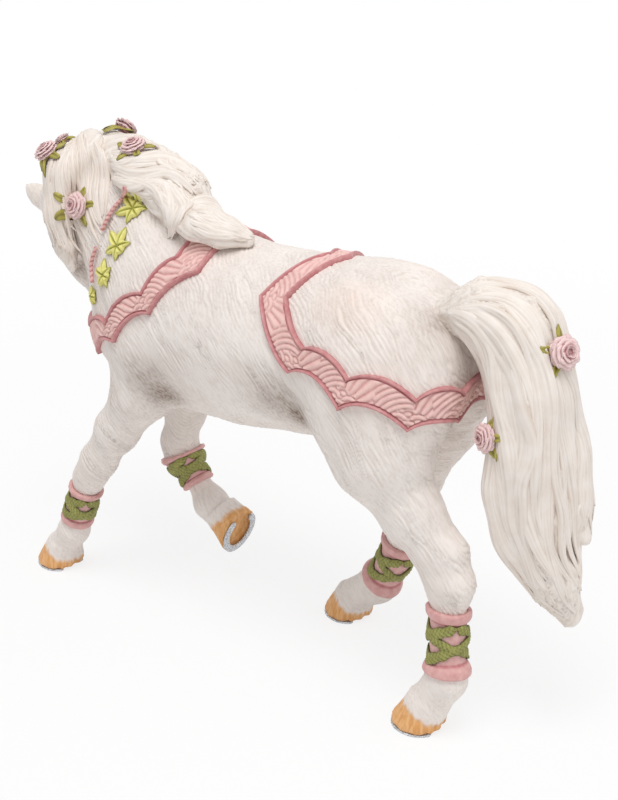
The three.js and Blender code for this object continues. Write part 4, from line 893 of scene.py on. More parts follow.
def paint_material(name, light, dark, rough=0.5):
    """Painted trim: a mesh attribute runs from the raised colour to the sunk one; the sunk colour is painted shade
    in hollows and grooves, and darker paint on rims.
    """
    g = Graph(name)
    patchy = g.noise(1.1, detail=3)
    wear = g.span(patchy, 0.3, 0.7, -0.14, 0.14)
    share = g.node("Math", (g.attribute("recess"), wear), operation="ADD", use_clamp=True)
    colour = g.mix(share, linear(light), linear(dark))
    normal = g.bump(g.noise(0.35, detail=3), 0.02)
    return g.finish(colour, g.span(patchy, 0.3, 0.7, rough - 0.06, rough + 0.06), normal)


FLAKES_PER_METRE = 4200.0


def silver_material():
    g = Graph("silver_glitter")
    flakes = g.node("TexVoronoi", {"Vector": g.place, "Scale": FLAKES_PER_METRE}, "Color")
    shade, tilt, gloss = (g.node("SeparateColor", (flakes,), i) for i in range(3))
    colour = g.mix(shade, linear("a3a6ac"), linear("eeeff2"))
    return g.finish(colour, g.span(gloss, 0, 1, 0.28, 0.55), g.bump(tilt, 0.05), 0.45)


def eye_material():
    g = Graph("eye_gloss")
    colour = g.mix(g.span(g.noise(0.5), 0.4, 0.6), linear("1c1413"), linear("2c1f1a"))
    return g.finish(colour, 0.16, g.bump(g.noise(0.3), 0.004), 0.0, 0.6)


COAT = coat_material()
STRANDS = hair_material()
PINK = paint_material("pink_paint", "f0c9c2", "bf787b")
ROSE = paint_material("rose_paint", "f1d4d2", "c58c91", 0.45)
LEAF = paint_material("leaf_paint", "ece68c", "aeac50")
VINE = paint_material("vine_paint", "b3b164", "525629")
SEPAL = paint_material("sepal_paint", "b9af57", "5e5724")
SILVER = silver_material()
GLOSS = eye_material()


# Coat


def airbrush_and_shade_patches(p, places):
    """Patches of airbrushed paint and of painted shade: centre, reach and strength of each."""
    total = np.zeros(len(p))
    for centre, radii, strength in places:
        q = (p - np.array(centre, float)) / np.array(radii, float)
        total = np.maximum(total, strength * np.exp(-(q * q).sum(-1)))
    return total


# Grey patches: painted shade in the creases at the elbows and the flanks, under the breast and the belly, round the
# dock and under the tail, and below the mane's left fall; grey paint with painted shade under the jaw.
GREY_PAINT_AND_SHADE_PLACES = [
    *both_sides((21.8, 14.6, 56), (6.5, 5, 6), 0.55), *both_sides((19, 13.8, 52.6), (5, 4.5, 4), 0.9),
    *both_sides((-13.2, 14.6, 60.4), (6.4, 5, 5), 0.62), *both_sides((-16.4, 14.2, 57.8), (3.6, 4.5, 4), 0.95),
    *both_sides((-41, 4.8, 78.6), (4.4, 4, 4.6), 0.45), *both_sides((-40, 7, 77), (6, 6, 8), 0.3),
    *both_sides((-46, 5, 68), (3.5, 4, 8), 0.35), *both_sides((33, 14.5, 49), (5, 4, 4), 0.22),
    ((4, 0, 46), (28, 14, 2.5), 0.3),
    ((56, 2.3, 70.5), (5, 4.5, 4.5), 0.6), ((46, 8.3, 72), (3, 4, 5), 0.3),
]
PEACH_PLACES = [*both_sides((-26, 12, 80), (8, 6, 6), 0.3), *both_sides((-36, 12, 68), (7, 6, 9), 0.2)]


def horn_share(name, p):
    """The horn's painted part: high at the toe, low at the heels, with a ragged upper edge."""
    x, y, z = hoof_local(LEGS[name]["hoof"], p).T
    angle = np.abs(np.arctan2(y, x + HOOF_SLOPE * z + 1))
    ragged = noise(np.stack([x * 2.2, y * 2.2, z * 0.4], 1), 11) * 0.5 + 0.5
    top = SOLE + np.interp(angle, [0, 0.9, 1.7, 2.4, 3.2], [4.1, 3.7, 1.9, 0.9, 0.8]) + ragged
    return smooth(0.9, -0.5, z - top) * (z < 9) * (np.hypot(x, y) < 9)


SKIN_LOW, SKIN_HIGH = (-56, -20.5, 0.2), (80, 21.5, 101.5)  # corners of the box that holds the skin
COAT_FLOW = (-0.64, 0, -0.77)  # the way the hair lies
GROOVES, NECK_GROOVES = 0.36, 0.16  # depth of the coat's grooves and what the neck adds
FINE, NECK_FINE = 0.04, 0.08  # the same for the fine ones between them
DENTS, FOOT_DENTS = 0.14, 0.05  # unevenness of the modelling
HORN_RIDGES, SOLE_STREAKS = 0.12, 0.22


def make_coat():
    """The body's skin with its hair grooves, cut at the hooves."""
    p, quads = skin_mesh(skin_field, SKIN_LOW, SKIN_HIGH, SKIN_STEP)
    n = vertex_normals(p, quads)
    flow = unit(COAT_FLOW)
    across = np.cross([0, 1, 0], flow)
    bend = noise(p / 9, 7) * 1.6 - 0.5 * np.abs(p[:, 1])
    local = np.stack([p @ across + bend, p[:, 1], p @ flow], 1)
    neck = smooth(22, 36, p[:, 0]) * smooth(64, 74, p[:, 2])
    feet = smooth(30, 14, p[:, 2])
    calm = 1 - 0.55 * feet  # the grooves are shallower towards the feet
    phase = (local[:, 0] + 0.75 * noise(local / (1.8, 1.8, 4.5), 3)) / GROOVE_PITCH
    broken = 0.55 + 0.6 * noise(local / (1.8, 1.8, 5.5), 8)
    ridge = np.abs(np.sin(math.pi * phase)) ** 0.8 - 0.62
    waves = ridge * broken * (GROOVES + NECK_GROOVES * neck) * calm
    waves += noise(local / (1.1, 1.1, 4), 4) * (FINE + NECK_FINE * neck) * calm
    waves += noise(p / 7, 5) * DENTS + noise(p / 2.6, 6) * FOOT_DENTS * feet
    horn = np.zeros(len(p))
    part_of = np.zeros(len(p), int)
    for i, name in enumerate(LEGS):
        hoof = LEGS[name]["hoof"]
        x, y, z = hoof_local(hoof, p).T
        near = (np.abs(z) < 12) & (np.hypot(x, y) < 10)
        share = np.where(near, horn_share(name, p), 0)
        horn = np.maximum(horn, share)
        part_of[near & (z < SOLE + HOOF_HEIGHT + 0.15 * x)] = i + 1
        angle = np.arctan2(y, x + HOOF_SLOPE * z)
        ridges = noise(np.stack([angle * 9, z * 0.5, 0 * z], 1), 21)
        waves = np.where(near & (share > 0.5) & (z > SOLE + 0.4), ridges * HORN_RIDGES, waves)
        streaks = noise(np.stack([np.arctan2(y, x + 3) * 5, np.hypot(x + 3, y) * 0.25, 0 * z], 1), 22)
        waves = np.where(near & (z < SOLE + 0.4), streaks * SOLE_STREAKS, waves)
    # Painted shade: the skin darkens in its sunk grooves and in the horn's ridges and streaks.
    recess = np.clip(-waves * 3.5 - 0.1, 0, 1) * 0.75
    head_grey_and_shade, sunk = head_marks(p)
    p = p + n * (waves - sunk)[:, None]
    # Grey: airbrushed paint and painted shade from the patches and from the head's marks.
    values = dict(recess=recess, horn=horn, grey=airbrush_and_shade_patches(p, GREY_PAINT_AND_SHADE_PLACES) + head_grey_and_shade, peach=airbrush_and_shade_patches(p, PEACH_PLACES))
    owner = part_of[quads].max(1)
    for i, name in enumerate(["coat", *[f"hoof_{k}" for k in LEGS]]):
        mine = quads[owner == i]
        used, index = np.unique(mine, return_inverse=True)
        part = (p[used], index.reshape(-1, 4), np.zeros((0, 3), int), {k: v[used] for k, v in values.items()})
        if i == 0:
            piece("coat_skin", part, COAT, ["torso", "head", *[f"leg_{k}" for k in LEGS]])
        else:
            piece(name + "_horn", part, COAT, [name])


NOSTRIL = (29, 2.1)  # down the face and to each side
LIPS = (27.5, -2.6)  # where the mouth starts down the face, and how deep below it


def head_marks(p):
    """The head's grey paint on the muzzle and round the eyes, grey paint with painted shade under the cheeks,
    painted shade in the nostrils and the mouth, and how deep the nostrils and the mouth are sunk.
    """
    along, left, out = ((p - POLL) @ HEAD_AXES.T).T
    skin = smooth(1.6, 0.5, head_field(p))
    cheek = np.exp(-(((along - 11) / 6) ** 2) - ((out + 3) / 4) ** 2) * 0.35
    muzzle = smooth(24, 31, along) * 0.5
    socket = np.exp(-(((along - EYE[0]) / 2.6) ** 2) - ((out - EYE[2]) / 2) ** 2) * (np.abs(left) > 2.5) * 0.45
    nostril = np.exp(-(((along - NOSTRIL[0]) / 0.8) ** 2) - ((np.abs(left) - NOSTRIL[1]) / 0.7) ** 2) * (out > 0)
    lips = np.exp(-(((out - LIPS[1]) / 0.35) ** 2)) * smooth(LIPS[0], LIPS[0] + 1.5, along)
    dark = np.maximum(np.maximum(cheek, muzzle), socket) * (along > 2)
    return skin * np.maximum(dark, 0.9 * np.maximum(nostril, lips)), skin * np.maximum(0.7 * nostril, 0.4 * lips)


EAR_LENGTH, EAR_HALF_WIDTH, EAR_HALF_DEPTH, EAR_HOLLOW = 8.2, 2.5, 1.5, 1.15


def make_ears():
    parts = []
    for side in (1, -1):
        root = head_point(1.5, 3.6 * side, -1)
        lean = unit(-HEAD_DOWN + HEAD_LEFT * 0.5 * side - HEAD_OUT * 0.05)
        v = unit(HEAD_LEFT - (HEAD_LEFT @ lean) * lean)
        u = np.cross(v, lean)
        u = u * np.sign(u @ (HEAD_OUT + 0.8 * side * HEAD_LEFT))
        t = np.linspace(0, 1, 26)[:, None, None]
        angle = around(40)[None, :, None]
        width = np.interp(t, [0, 0.3, 0.55, 0.8, 0.95, 1], [0.75, 1, 1, 0.7, 0.3, 0.05])
        hollow = smooth(0.0, 0.9, np.sin(angle)) * EAR_HOLLOW * smooth(0.08, 0.35, t) * smooth(1.0, 0.85, t)
        centre = root + lean * t * EAR_LENGTH + u * 0.5 * np.sin(t * 3) * (1 - t)
        rings = centre + v * EAR_HALF_WIDTH * width * np.cos(angle)
        rings = rings + u * EAR_HALF_DEPTH * width * (np.sin(angle) - hollow)
        # Painted shade in the ear's hollow.
        shade = (smooth(0.4, 1, hollow) * 0.8)[..., 0]
        parts.append(loft(rings, recess=shade, grey=shade * 0.5))
    piece("ears", merged(parts), COAT, [])


EYEBALL = (1.2, 1.5, 1.15)  # half its depth, length and height


def make_eyes():
    parts = []
    for side in (1, -1):
        centre = head_point(EYE[0] - 1.2, EYE[1] * side, EYE[2] - 2.2)
        centre = settle(head_field, centre[None], -0.2)[0]
        axis = unit(gradient(head_field, centre[None])[0])
        along = unit(HEAD_DOWN - (HEAD_DOWN @ axis) * axis)
        other = np.cross(axis, along)
        a = np.linspace(0, math.pi, 14)[:, None, None]
        b = around(24)[None, :, None]
        deep, long, high = EYEBALL
        rim = along * long * np.cos(b) + other * high * np.sin(b)
        parts.append(loft(centre + axis * deep * np.cos(a) + rim * np.sin(a)))
    piece("eyes", merged(parts), GLOSS, [])


# Hair
LOCK_TIP = 0.12  # a lock's share of its width at its tip
CORE_SINK, CORE_GROOVES = 0.12, 0.4  # mm that the cores lie under the solids, and the depth of their grooves


def strand_core(names, seed):
    """A hair mass without its locks: the core's skin with shallow grooves down it."""
    joints = np.array([j[:3] for name in names for j in HAIR[name][0]])
    room = max(max(j[3:]) for name in names for j in HAIR[name][0]) + 2
    whole = joined([hair_fields[name] for name in names], 1.5)
    p, quads = skin_mesh(lambda p: whole(p) + CORE_SINK, joints.min(0) - room, joints.max(0) + room, HAIR_STEP)
    n = vertex_normals(p, quads)
    axis = np.zeros_like(p)
    for name in names:
        path = curve([j[:3] for j in HAIR[name][0]], 40)
        d = np.linalg.norm(p[:, None] - path[None], axis=2)
        axis += ways(path)[d.argmin(1)] / (d.min(1)[:, None] ** 4 + 1)
    axis = unit(axis)
    side = unit(np.cross(axis, n))
    u, w = (((p - joints.mean(0)) * way).sum(1) for way in (side, axis))
    grooves = noise(np.stack([u * 1.5 + 0.15 * w, w * 0.12, 0 * u], 1), seed)
    grooves = 0.5 - np.abs(grooves) ** 0.6
    p = p - n * (grooves * CORE_GROOVES)[:, None]
    # Painted shade in the core's grooves.
    return p, quads, np.zeros((0, 3), int), dict(recess=np.clip(grooves + 0.2, 0, 1))


def eased(rows, rounds, ways=False):
    """A row of points, or of unit ways, smoothed along its run with the ends kept."""
    for _ in range(rounds):
        rows[1:-1] = rows[:-2] + 2 * rows[1:-1] + rows[2:]
        rows[1:-1] = unit(rows[1:-1]) if ways else rows[1:-1] / 4
    return rows


def lock(line, width, thick, seed, lift, strands=3, root=0.5, peach=0.0, sway=0.0, sink=0.0):
    """One moulded lock along a line on the core: an arched ribbon with grooves, pointed at its tip."""
    rng, clump = np.random.default_rng(seed), np.random.default_rng(seed // 3)
    count = max(14, int(length_of(line) / LOCK_STEP))
    t = np.linspace(0, 1, count)
    path = settle(core_field, curve(line, count), 0.0, 3)
    swing = sway * np.sin(2 * math.pi * (t * clump.uniform(0.7, 1.5) + clump.uniform(0, 1))) * smooth(0, 0.25, t)
    aside = unit(np.cross(np.gradient(path, axis=0), gradient(core_field, path)))
    path = eased(settle(core_field, path + aside * swing[:, None], 0.0, 3), count // 3)
    n = eased(unit(gradient(core_field, path)), count // 2, ways=True)
    side = unit(np.cross(ways(path), n))
    half = width * np.interp(t, [0, 0.12, 0.3, 0.7, 0.9, 1], [root, 0.85, 1, 0.95, 0.55, LOCK_TIP])
    half = half * (1 + 0.12 * np.sin(t * rng.uniform(5, 9) + rng.uniform(0, 6)))
    height = (thick * np.interp(t, [0, 0.15, 0.75, 1], [0.35, 1, 0.95, 0.25]))[:, None]
    angle = around(LOCK_SIDES)
    across, high = np.cos(angle)[None], np.sin(angle)[None]
    phase = rng.uniform(-0.5, 0.5) + 0.35 * np.sin(t * rng.uniform(3, 6) + rng.uniform(0, 6))
    ridge = np.abs(np.sin(math.pi * ((across + 1) / 2 * strands + phase[:, None]))) ** 0.6
    up = high > 0.05  # the rest is the flatter underside
    y = high * np.where(up, 1.0, 0.55) * height
    y = y + (ridge - 0.6) * 0.36 * height * np.where(up, np.abs(high) ** 0.5, 0)
    y = y + lift * np.abs(np.sin(math.pi * t))[:, None] ** 0.7 - sink
    y = y - 0.8 * thick * smooth(0.09, 0, t)[:, None]
    rings = path[:, None] + side[:, None] * (across * half[:, None])[..., None] + n[:, None] * y[..., None]
    # Painted shade: darker in the grooves between strands, towards the lock's edges and on its underside.
    shade = np.where(up, np.clip(1.0 - ridge, 0, 1) * 0.7 + 0.3 * across**6, 0.6)
    return loft(rings, recess=shade, peach=np.full(shade.shape, peach))


def sheaf(lines, between, width, thick, seed, **options):
    """Locks along the lines and, evenly spread, between each pair of neighbours."""
    rng = np.random.default_rng(seed)
    parts = []
    curves = [curve(line, 24) for line in lines]
    for i, line in enumerate(curves):
        for k in range(between + 1 if i + 1 < len(curves) else 1):
            share = k / (between + 1)
            drawn = line * (1 - share) + curves[i + 1] * share if k else line
            drawn = drawn + rng.normal(0, 0.35, 3)
            start = int(rng.integers(0, 3)) if k else 0
            end = 24 - int(rng.integers(0, 4)) if k else 24
            size, lift = width * rng.uniform(0.8, 1.2), rng.uniform(-0.1, 0.25)
            height = thick * rng.uniform(0.85, 1.15)
            parts.append(lock(drawn[start:end][::3], size, height, seed * 100 + i * 10 + k, lift, **options))
    return parts


# Name, solids, seed of the core's grooves, then each sheaf: its lines, how many locks lie between
# two lines, their width and thickness, their seed and what else they are given
HAIR_PIECES = [
    ("mane_crest_locks", ["mane_crest"], 31, [
        (CREST_LINES, 4, 0.9, 0.5, 41, dict(strands=2, sway=0.6)),
        (mirrored(CREST_LINES[:5], 0.8), 4, 0.95, 0.5, 42, dict(strands=2, sway=0.6)),
    ]),
    ("mane_withers_locks", ["mane_withers_lock"], 32, [
        (WITHERS_LINES, 5, 0.7, 0.5, 43, dict(strands=2, sway=0.35)),
    ]),
    ("mane_left_strands", ["mane_left_fall"], 33, [
        (STREAM_LINES, 6, 0.6, 0.45, 44, dict(strands=2, peach=0.12, sway=0.3)),
        (STREAM_FILL, 4, 0.6, 0.45, 49, dict(strands=2, peach=0.12, sway=0.3)),
    ]),
    ("mane_right_strands", ["mane_right_fall"], 34, [(RIGHT_LINES, 4, 1.3, 0.9, 45, {})]),
    ("forelock_strands", ["forelock"], 35, [(FORELOCK_LINES, 5, 0.7, 0.5, 46, dict(strands=2, sink=0.3))]),
    ("tail_locks", ["tail_main", "tail_lock_outer", "tail_lock_inner"], 36, [
        (TAIL_LINES, 5, 1.2, 0.5, 47, dict(sway=0.8, root=0.2)),
        (mirrored(TAIL_LINES[2:], -0.8), 5, 1.3, 0.5, 48, dict(sway=0.8, root=0.2)),
        (TAIL_LINES, 1, 1.3, 0.85, 50, dict(sway=1.5, root=0.2)),
    ]),
]


def make_hair():
    for name, solids, seed, sheaves in HAIR_PIECES:
        parts = [strand_core(solids, seed)]
        for lines, between, width, thick, start, options in sheaves:
            parts += sheaf(lines, between, width, thick, start, **options)
        piece(name, merged(parts), STRANDS, solids)


# Bands
BAND_WIDE, RIM_WIDE = 7.0, 0.75
CLUSTER_REACH = 4.4  # how far the small fans reach from a cusp
FAN_PITCH, FAN_RADIUS = 3.5, 2.1
RIBS, ARC_PITCH = 14, 1.0  # ribs in half a turn, and the distance between arcs
BAND_LEVEL, RIM_RISE, RELIEF_RISE = 0.35, 0.7, 0.5  # over the coat, then over the band


def edge_points(edge, lift, per_arch):
    """Points along a band's edge, each arch bulging up by its height."""
    points = [np.array(edge[0][0], float)]
    for (a, _), (b, bulge) in zip(edge, edge[1:]):
        for k in range(1, per_arch + 1):
            t = k / per_arch
            height = bulge * math.sin(math.pi * min(t, 0.999999)) ** 0.8
            points.append(np.array(a) * (1 - t) + np.array(b) * t + unit(lift) * height)
    return np.array(points)


def small_fans(x, y):
    """Overlapping fans of two raised arcs, each row staggered over the one behind it."""
    height = np.zeros_like(x)
    taken = np.zeros(x.shape, bool)
    for row in range(-1, 6):
        shifted = x / FAN_PITCH + 0.5 * (row % 2)
        off = (shifted - np.round(shifted)) * FAN_PITCH
        r = np.hypot(off, y - (row * FAN_RADIUS * 0.62 - 0.4))
        here = (r < FAN_RADIUS) & ~taken
        height = np.where(here, np.abs(np.sin(math.pi * r / FAN_RADIUS * 2)) ** 0.7, height)
        taken |= here
    return height


def panel_relief(p, arch, cusps, along, up):
    """Small fans over each lower cusp, ribs spreading from one and arcs round the next."""
    after, before = p - cusps[arch][:, None], p - cusps[arch + 1][:, None]
    near, far = np.linalg.norm(after, axis=2), np.linalg.norm(before, axis=2)
    first = near < far
    x = np.where(first, (after * along[arch][:, None]).sum(-1), (before * along[arch + 1][:, None]).sum(-1))
    y = np.where(first, (after * up[arch][:, None]).sum(-1), (before * up[arch + 1][:, None]).sum(-1))
    ribs = np.abs(np.sin(np.arctan2(y, x) * RIBS)) ** 0.7
    arcs = np.abs(np.sin(math.pi * (far - CLUSTER_REACH) / ARC_PITCH)) ** 0.7
    spread = np.where(near < far * 0.95, ribs, arcs)
    return np.where(np.minimum(near, far) < CLUSTER_REACH, small_fans(x, y - RIM_WIDE), spread)


def make_band(name, band, nodes):
    arches = len(band["upper"]) - 1
    per_arch = max(6, int(length_of([p for p, _ in band["upper"]]) / arches / BAND_STEP))
    left = [edge_points(band[edge], band["lift"], per_arch) for edge in ("upper", "lower")]
    upper, lower = (np.vstack([half, (half * [1, -1, 1])[-2:0:-1]]) for half in left)
    n_rows, columns = len(upper), int(BAND_WIDE / BAND_STEP)
    t = np.linspace(0, 1, columns)[None, :, None]
    flat = upper[:, None] * (1 - t) + lower[:, None] * t
    base = settle(coat_field, flat.reshape(-1, 3), 0.0, 5)
    normal = unit(gradient(coat_field, base)).reshape(n_rows, columns, 3)
    base = base.reshape(n_rows, columns, 3)
    steps = np.linalg.norm(np.diff(base, axis=1), axis=2)
    across = np.concatenate([np.zeros((n_rows, 1)), np.cumsum(steps, 1)], 1)
    edge = np.minimum(across, across[:, -1:] - across)
    turns = np.arange(0, n_rows, per_arch)
    cusps = np.vstack([base[turns, -1], base[:1, -1]])
    along = unit(np.roll(cusps[:-1], -1, 0) - np.roll(cusps[:-1], 1, 0))
    up = unit(np.cross(normal[turns, -1], along))
    up = up * np.sign(((base[turns, 0] - base[turns, -1]) * up).sum(-1))[:, None]
    along, up = (np.vstack([rows, rows[:1]]) for rows in (along, up))
    arch = np.minimum(np.arange(n_rows) // per_arch, len(turns) - 1)
    relief = panel_relief(base, arch, cusps, along, up)
    rim = np.sqrt(np.clip(1 - ((edge - RIM_WIDE * 0.5) / (RIM_WIDE * 0.56)) ** 2, 0, 1))
    on_rim = edge < RIM_WIDE
    raised = RELIEF_RISE * relief * smooth(RIM_WIDE, RIM_WIDE + 0.3, edge)
    level = BAND_LEVEL + np.where(on_rim, RIM_RISE * rim, raised)
    level = np.where(edge < 1e-6, -0.2, level)
    # The rims are dark rose paint with a painted highlight along each crest; on the panel the low parts of the
    # relief are painted shade, and the groove inside each rim is a dark line of painted shade.
    shade = np.where(on_rim, 1.0 - 0.2 * rim, 0.5 - 0.5 * relief)
    shade = np.where((edge > RIM_WIDE * 0.9) & (edge < RIM_WIDE + 0.2), 1.2, shade)
    top = base + normal * level[..., None]
    pick = (np.array([0.85, 0.5, 0.15]) * (columns - 1)).astype(int)
    under = base[:, pick] - normal[:, pick] * 0.5
    rings = np.concatenate([top, under], 1)
    shades = np.concatenate([shade, np.ones((n_rows, 3))], 1)
    piece(name, loft(rings, closed=True, recess=shades), PINK, nodes)


# Leg wraps


def leg_path(leg, count):
    """The leg's middle line from its cut down to the coronet."""
    axes = hoof_axes(leg["hoof"])
    at = np.array(leg["hoof"][0], float)
    slope = unit(axes[2] - axes[0] * CORONET_RISE)
    foot = at - axes[0] * HOOF_SLOPE * HOOF_HEIGHT + axes[2] * (SOLE + HOOF_HEIGHT + CUT)
    start = np.array(leg["cut"][0]) + unit(leg["cut"][1]) * CUT
    rest = [np.array(j[:3], float) for j in leg["joints"][2:-1]]
    return curve([start, *rest, foot + slope * 1.5, foot], count)


def sleeve(leg, rows, columns, level_of):
    """Points round the leg between the wrap's ends, at a level above the coat."""
    first, last = leg["wrap"]
    marks = np.linspace(0, 240, 241)
    path = leg_path(leg, len(marks))
    t = np.linspace(first, last, rows) * marks[-1]
    at, axis = read_at(t, marks, path), unit(read_at(t, marks, ways(path)))
    v = unit(np.array([0, 1, 0]) - axis[:, 1:2] * axis)
    u = np.cross(v, axis)
    angle = around(columns)
    out = u[:, None] * np.cos(angle)[None, :, None] + v[:, None] * np.sin(angle)[None, :, None]
    start = np.repeat(at[:, None], columns, 1).reshape(-1, 3)
    far = reach(coat_field, start, out.reshape(-1, 3), 9, 0.0).reshape(rows, columns)
    level = level_of(np.linspace(0, 1, rows)[:, None], angle[None], far)
    return at[:, None] + out * (far + level)[..., None], at, out, far


ROLL = 0.166  # each rolled edge's share of a wrap's height
WRAP_LEVEL, ROLL_RISE, WRINKLES = 0.6, 0.5, 0.07  # over the coat, then over the wrap


def make_wrap(name, leg):
    rows, columns = ((90, 110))

    def level_of(t, angle, far):
        end = np.minimum(t, 1 - t)
        roll = np.sqrt(np.clip(1 - ((end - 0.08) / 0.087) ** 2, 0, 1))
        spots = np.stack(np.broadcast_arrays(t * 22, np.cos(angle) * 3, np.sin(angle) * 3), -1)
        wrinkle = noise(spots.reshape(-1, 3), 51).reshape(far.shape) * WRINKLES
        level = np.where(end < ROLL, WRAP_LEVEL + ROLL_RISE * roll, WRAP_LEVEL) + wrinkle
        return np.where(end < 0.004, 0.1, level)

    rings, at, out, far = sleeve(leg, rows, columns, level_of)
    t = np.linspace(0, 1, rows)[:, None]
    end = np.minimum(t, 1 - t)
    # The rolled edges are a little darker paint than the panel; the dark line where each roll meets the panel is
    # painted shade.
    shade = np.where(end < ROLL, 0.5, 0.4) + 0.6 * np.exp(-(((end - 0.172) / 0.018) ** 2))
    shade = np.broadcast_to(shade, (rows, columns))
    lining = at[::-6, None] + out[::-6] * (far[::-6] - 0.3)[..., None]
    rings = np.concatenate([rings, lining])
    shades = np.concatenate([shade, np.ones((len(lining), columns))])
    piece(f"wrap_{name}_cuff", loft(rings, closed=True, recess=shades), PINK, [f"wrap_{name}"])
    make_vine(name, at, out, far)


WRAP_GIRTH = 4.3  # a cuff's radius, near enough
VINE_TURNS, VINE_RUN = 0.8, 0.6  # turns of each ribbon, over this share of the wrap's height


def make_vine(name, at, out, far):
    """Two leafy ribbons wound against each other over the cuff."""
    rows, columns = out.shape[:2]
    length = length_of(at)
    s = np.linspace(0, 1, 220)[:, None]
    phi = around(12)[None]
    crown = np.clip(np.sin(phi), 0, 1)
    veins = np.abs(np.sin((s * 24 + np.abs(np.cos(phi)) * 0.9) * math.pi)) ** 0.7
    parts = []
    for turn in (1, -1):
        for start in (0.0, 0.5):
            angle = 2 * math.pi * (start + turn * VINE_TURNS * s) + 0.6
            pulse = np.abs(np.sin(s * math.pi * 8 + start * 3)) ** 0.7
            half = (0.85 + 0.3 * pulse) * np.minimum(1, np.minimum(s, 1 - s) * 14 + 0.25)
            slope = turn * VINE_TURNS * 2 * math.pi / (VINE_RUN * length) * WRAP_GIRTH
            square = half * np.cos(phi) / math.hypot(1, slope)
            row = np.clip((1 - VINE_RUN) / 2 + VINE_RUN * s + square * slope / length, 0, 1) * (rows - 1)
            column = ((angle - square / WRAP_GIRTH) / (2 * math.pi) * columns) % columns
            r0 = np.minimum(row.astype(int), rows - 2)
            c0 = column.astype(int) % columns
            c1 = (c0 + 1) % columns
            fr, fc = (row - r0)[..., None], (column - np.floor(column))[..., None]

            def sample(grid):
                a = grid[r0, c0] * (1 - fc) + grid[r0, c1] * fc
                b = grid[r0 + 1, c0] * (1 - fc) + grid[r0 + 1, c1] * fc
                return a * (1 - fr) + b * fr

            high = 0.65 + (0.3 + 0.3 * veins) * (0.35 + 0.65 * crown)
            high = np.where(np.sin(phi) < -0.01, 0.6, high + (0.1 if turn > 0 else 0.0))
            level = sample(far[..., None]) + high[..., None]
            rings = sample(at[:, None] + 0 * out) + unit(sample(out)) * level
            # Painted light: each ribbon is lighter along its crown and its leaf veins, as a painted highlight, and
            # darker on its sides and underside, as painted shade.
            parts.append(loft(rings, recess=np.clip(0.95 - 0.8 * veins * crown**0.5, 0, 1)))
    piece(f"vine_{name}_ribbons", merged(parts), VINE, [f"vine_{name}"])


SHOE_OPENING = 0.62  # half the angle that a shoe leaves open at the heels
SQUARED = 0.55  # lower is squarer: the power that shapes a shoe's section


def make_shoe(name, leg):
    axes = hoof_axes(leg["hoof"])
    at = np.array(leg["hoof"][0], float)
    count = 80
    angle = np.linspace(SHOE_OPENING - math.pi, math.pi - SHOE_OPENING, count)
    middle_x, middle_y = HOOF_LENGTH / 2 - 0.05 - SHOE_WEB / 2, HOOF_WIDTH / 2 - 0.05 - SHOE_WEB / 2
    heel = np.where(np.cos(angle) < 0, HEEL_SHARE, 1)
    centre = np.stack([middle_x * np.cos(angle) * heel, middle_y * np.sin(angle)], 1)
    way = ways(centre)
    side = np.stack([way[:, 1], -way[:, 0]], 1)
    phi = around(20)
    ends = np.minimum(1, np.minimum(np.arange(count), np.arange(count)[::-1]) * 0.25 + 0.45)
    flat, rise = (np.sign(wave) * np.abs(wave) ** SQUARED for wave in (np.cos(phi), np.sin(phi)))
    flat, rise = flat * (SHOE_WEB / 2), rise * (SHOE_WALL / 2) + SHOE_WALL / 2
    xy = centre[:, None] + side[:, None] * (flat[None] * ends[:, None])[..., None]
    rings = at + xy[..., :1] * axes[0] + xy[..., 1:] * axes[1] + rise[None, :, None] * axes[2]
    piece(f"shoe_{name}_silver", loft(rings), SILVER, [f"shoe_{name}"])


# Roses, leaves and cords


def trim_frame(at, turn=0.0):
    """Out of the surface near a point, and two ways along it."""
    n = unit(gradient(core_field, settle(core_field, np.array([at], float))))[0]
    guide = np.array([1.0, 0, 0]) if abs(n[2]) > 0.9 else np.array([0, 0, 1.0])
    v0 = unit(guide - (guide @ n) * n)
    u0 = np.cross(v0, n)
    u = u0 * math.cos(math.radians(turn)) + v0 * math.sin(math.radians(turn))
    return n, u, np.cross(n, u)


HELD_OVER, FALL, FALL_STEP = 7, 10.5, 0.25  # mm over the surface, and how far and finely the drawing falls


def landed(at, frame, x, y):
    """Where a flat drawing held over the surface comes down on it."""
    n, u, v = frame
    start = np.array(at, float) + HELD_OVER * n + x[..., None] * u + y[..., None] * v
    flat = start.reshape(-1, 3)
    depth = np.full(len(flat), FALL)
    found = np.zeros(len(flat), bool)
    for d in np.arange(FALL_STEP, FALL + 0.1, FALL_STEP):
        hit = ~found & (core_field(flat - n * d) < SEAT)
        depth[hit] = d
        found |= hit
    low, high = depth - FALL_STEP, depth.copy()
    for _ in range(9):
        m = (low + high) / 2
        inside = core_field(flat - n * m[:, None]) < SEAT
        high = np.where(inside, m, high)
        low = np.where(inside, low, m)
    depth = np.where(found, high, FALL)
    return (flat - n * depth[:, None]).reshape(start.shape)


OVER_HAIR, UNDER_HAIR = 0.45, -1.1  # how far the sepals lie over the hair's core, and the ivy under it


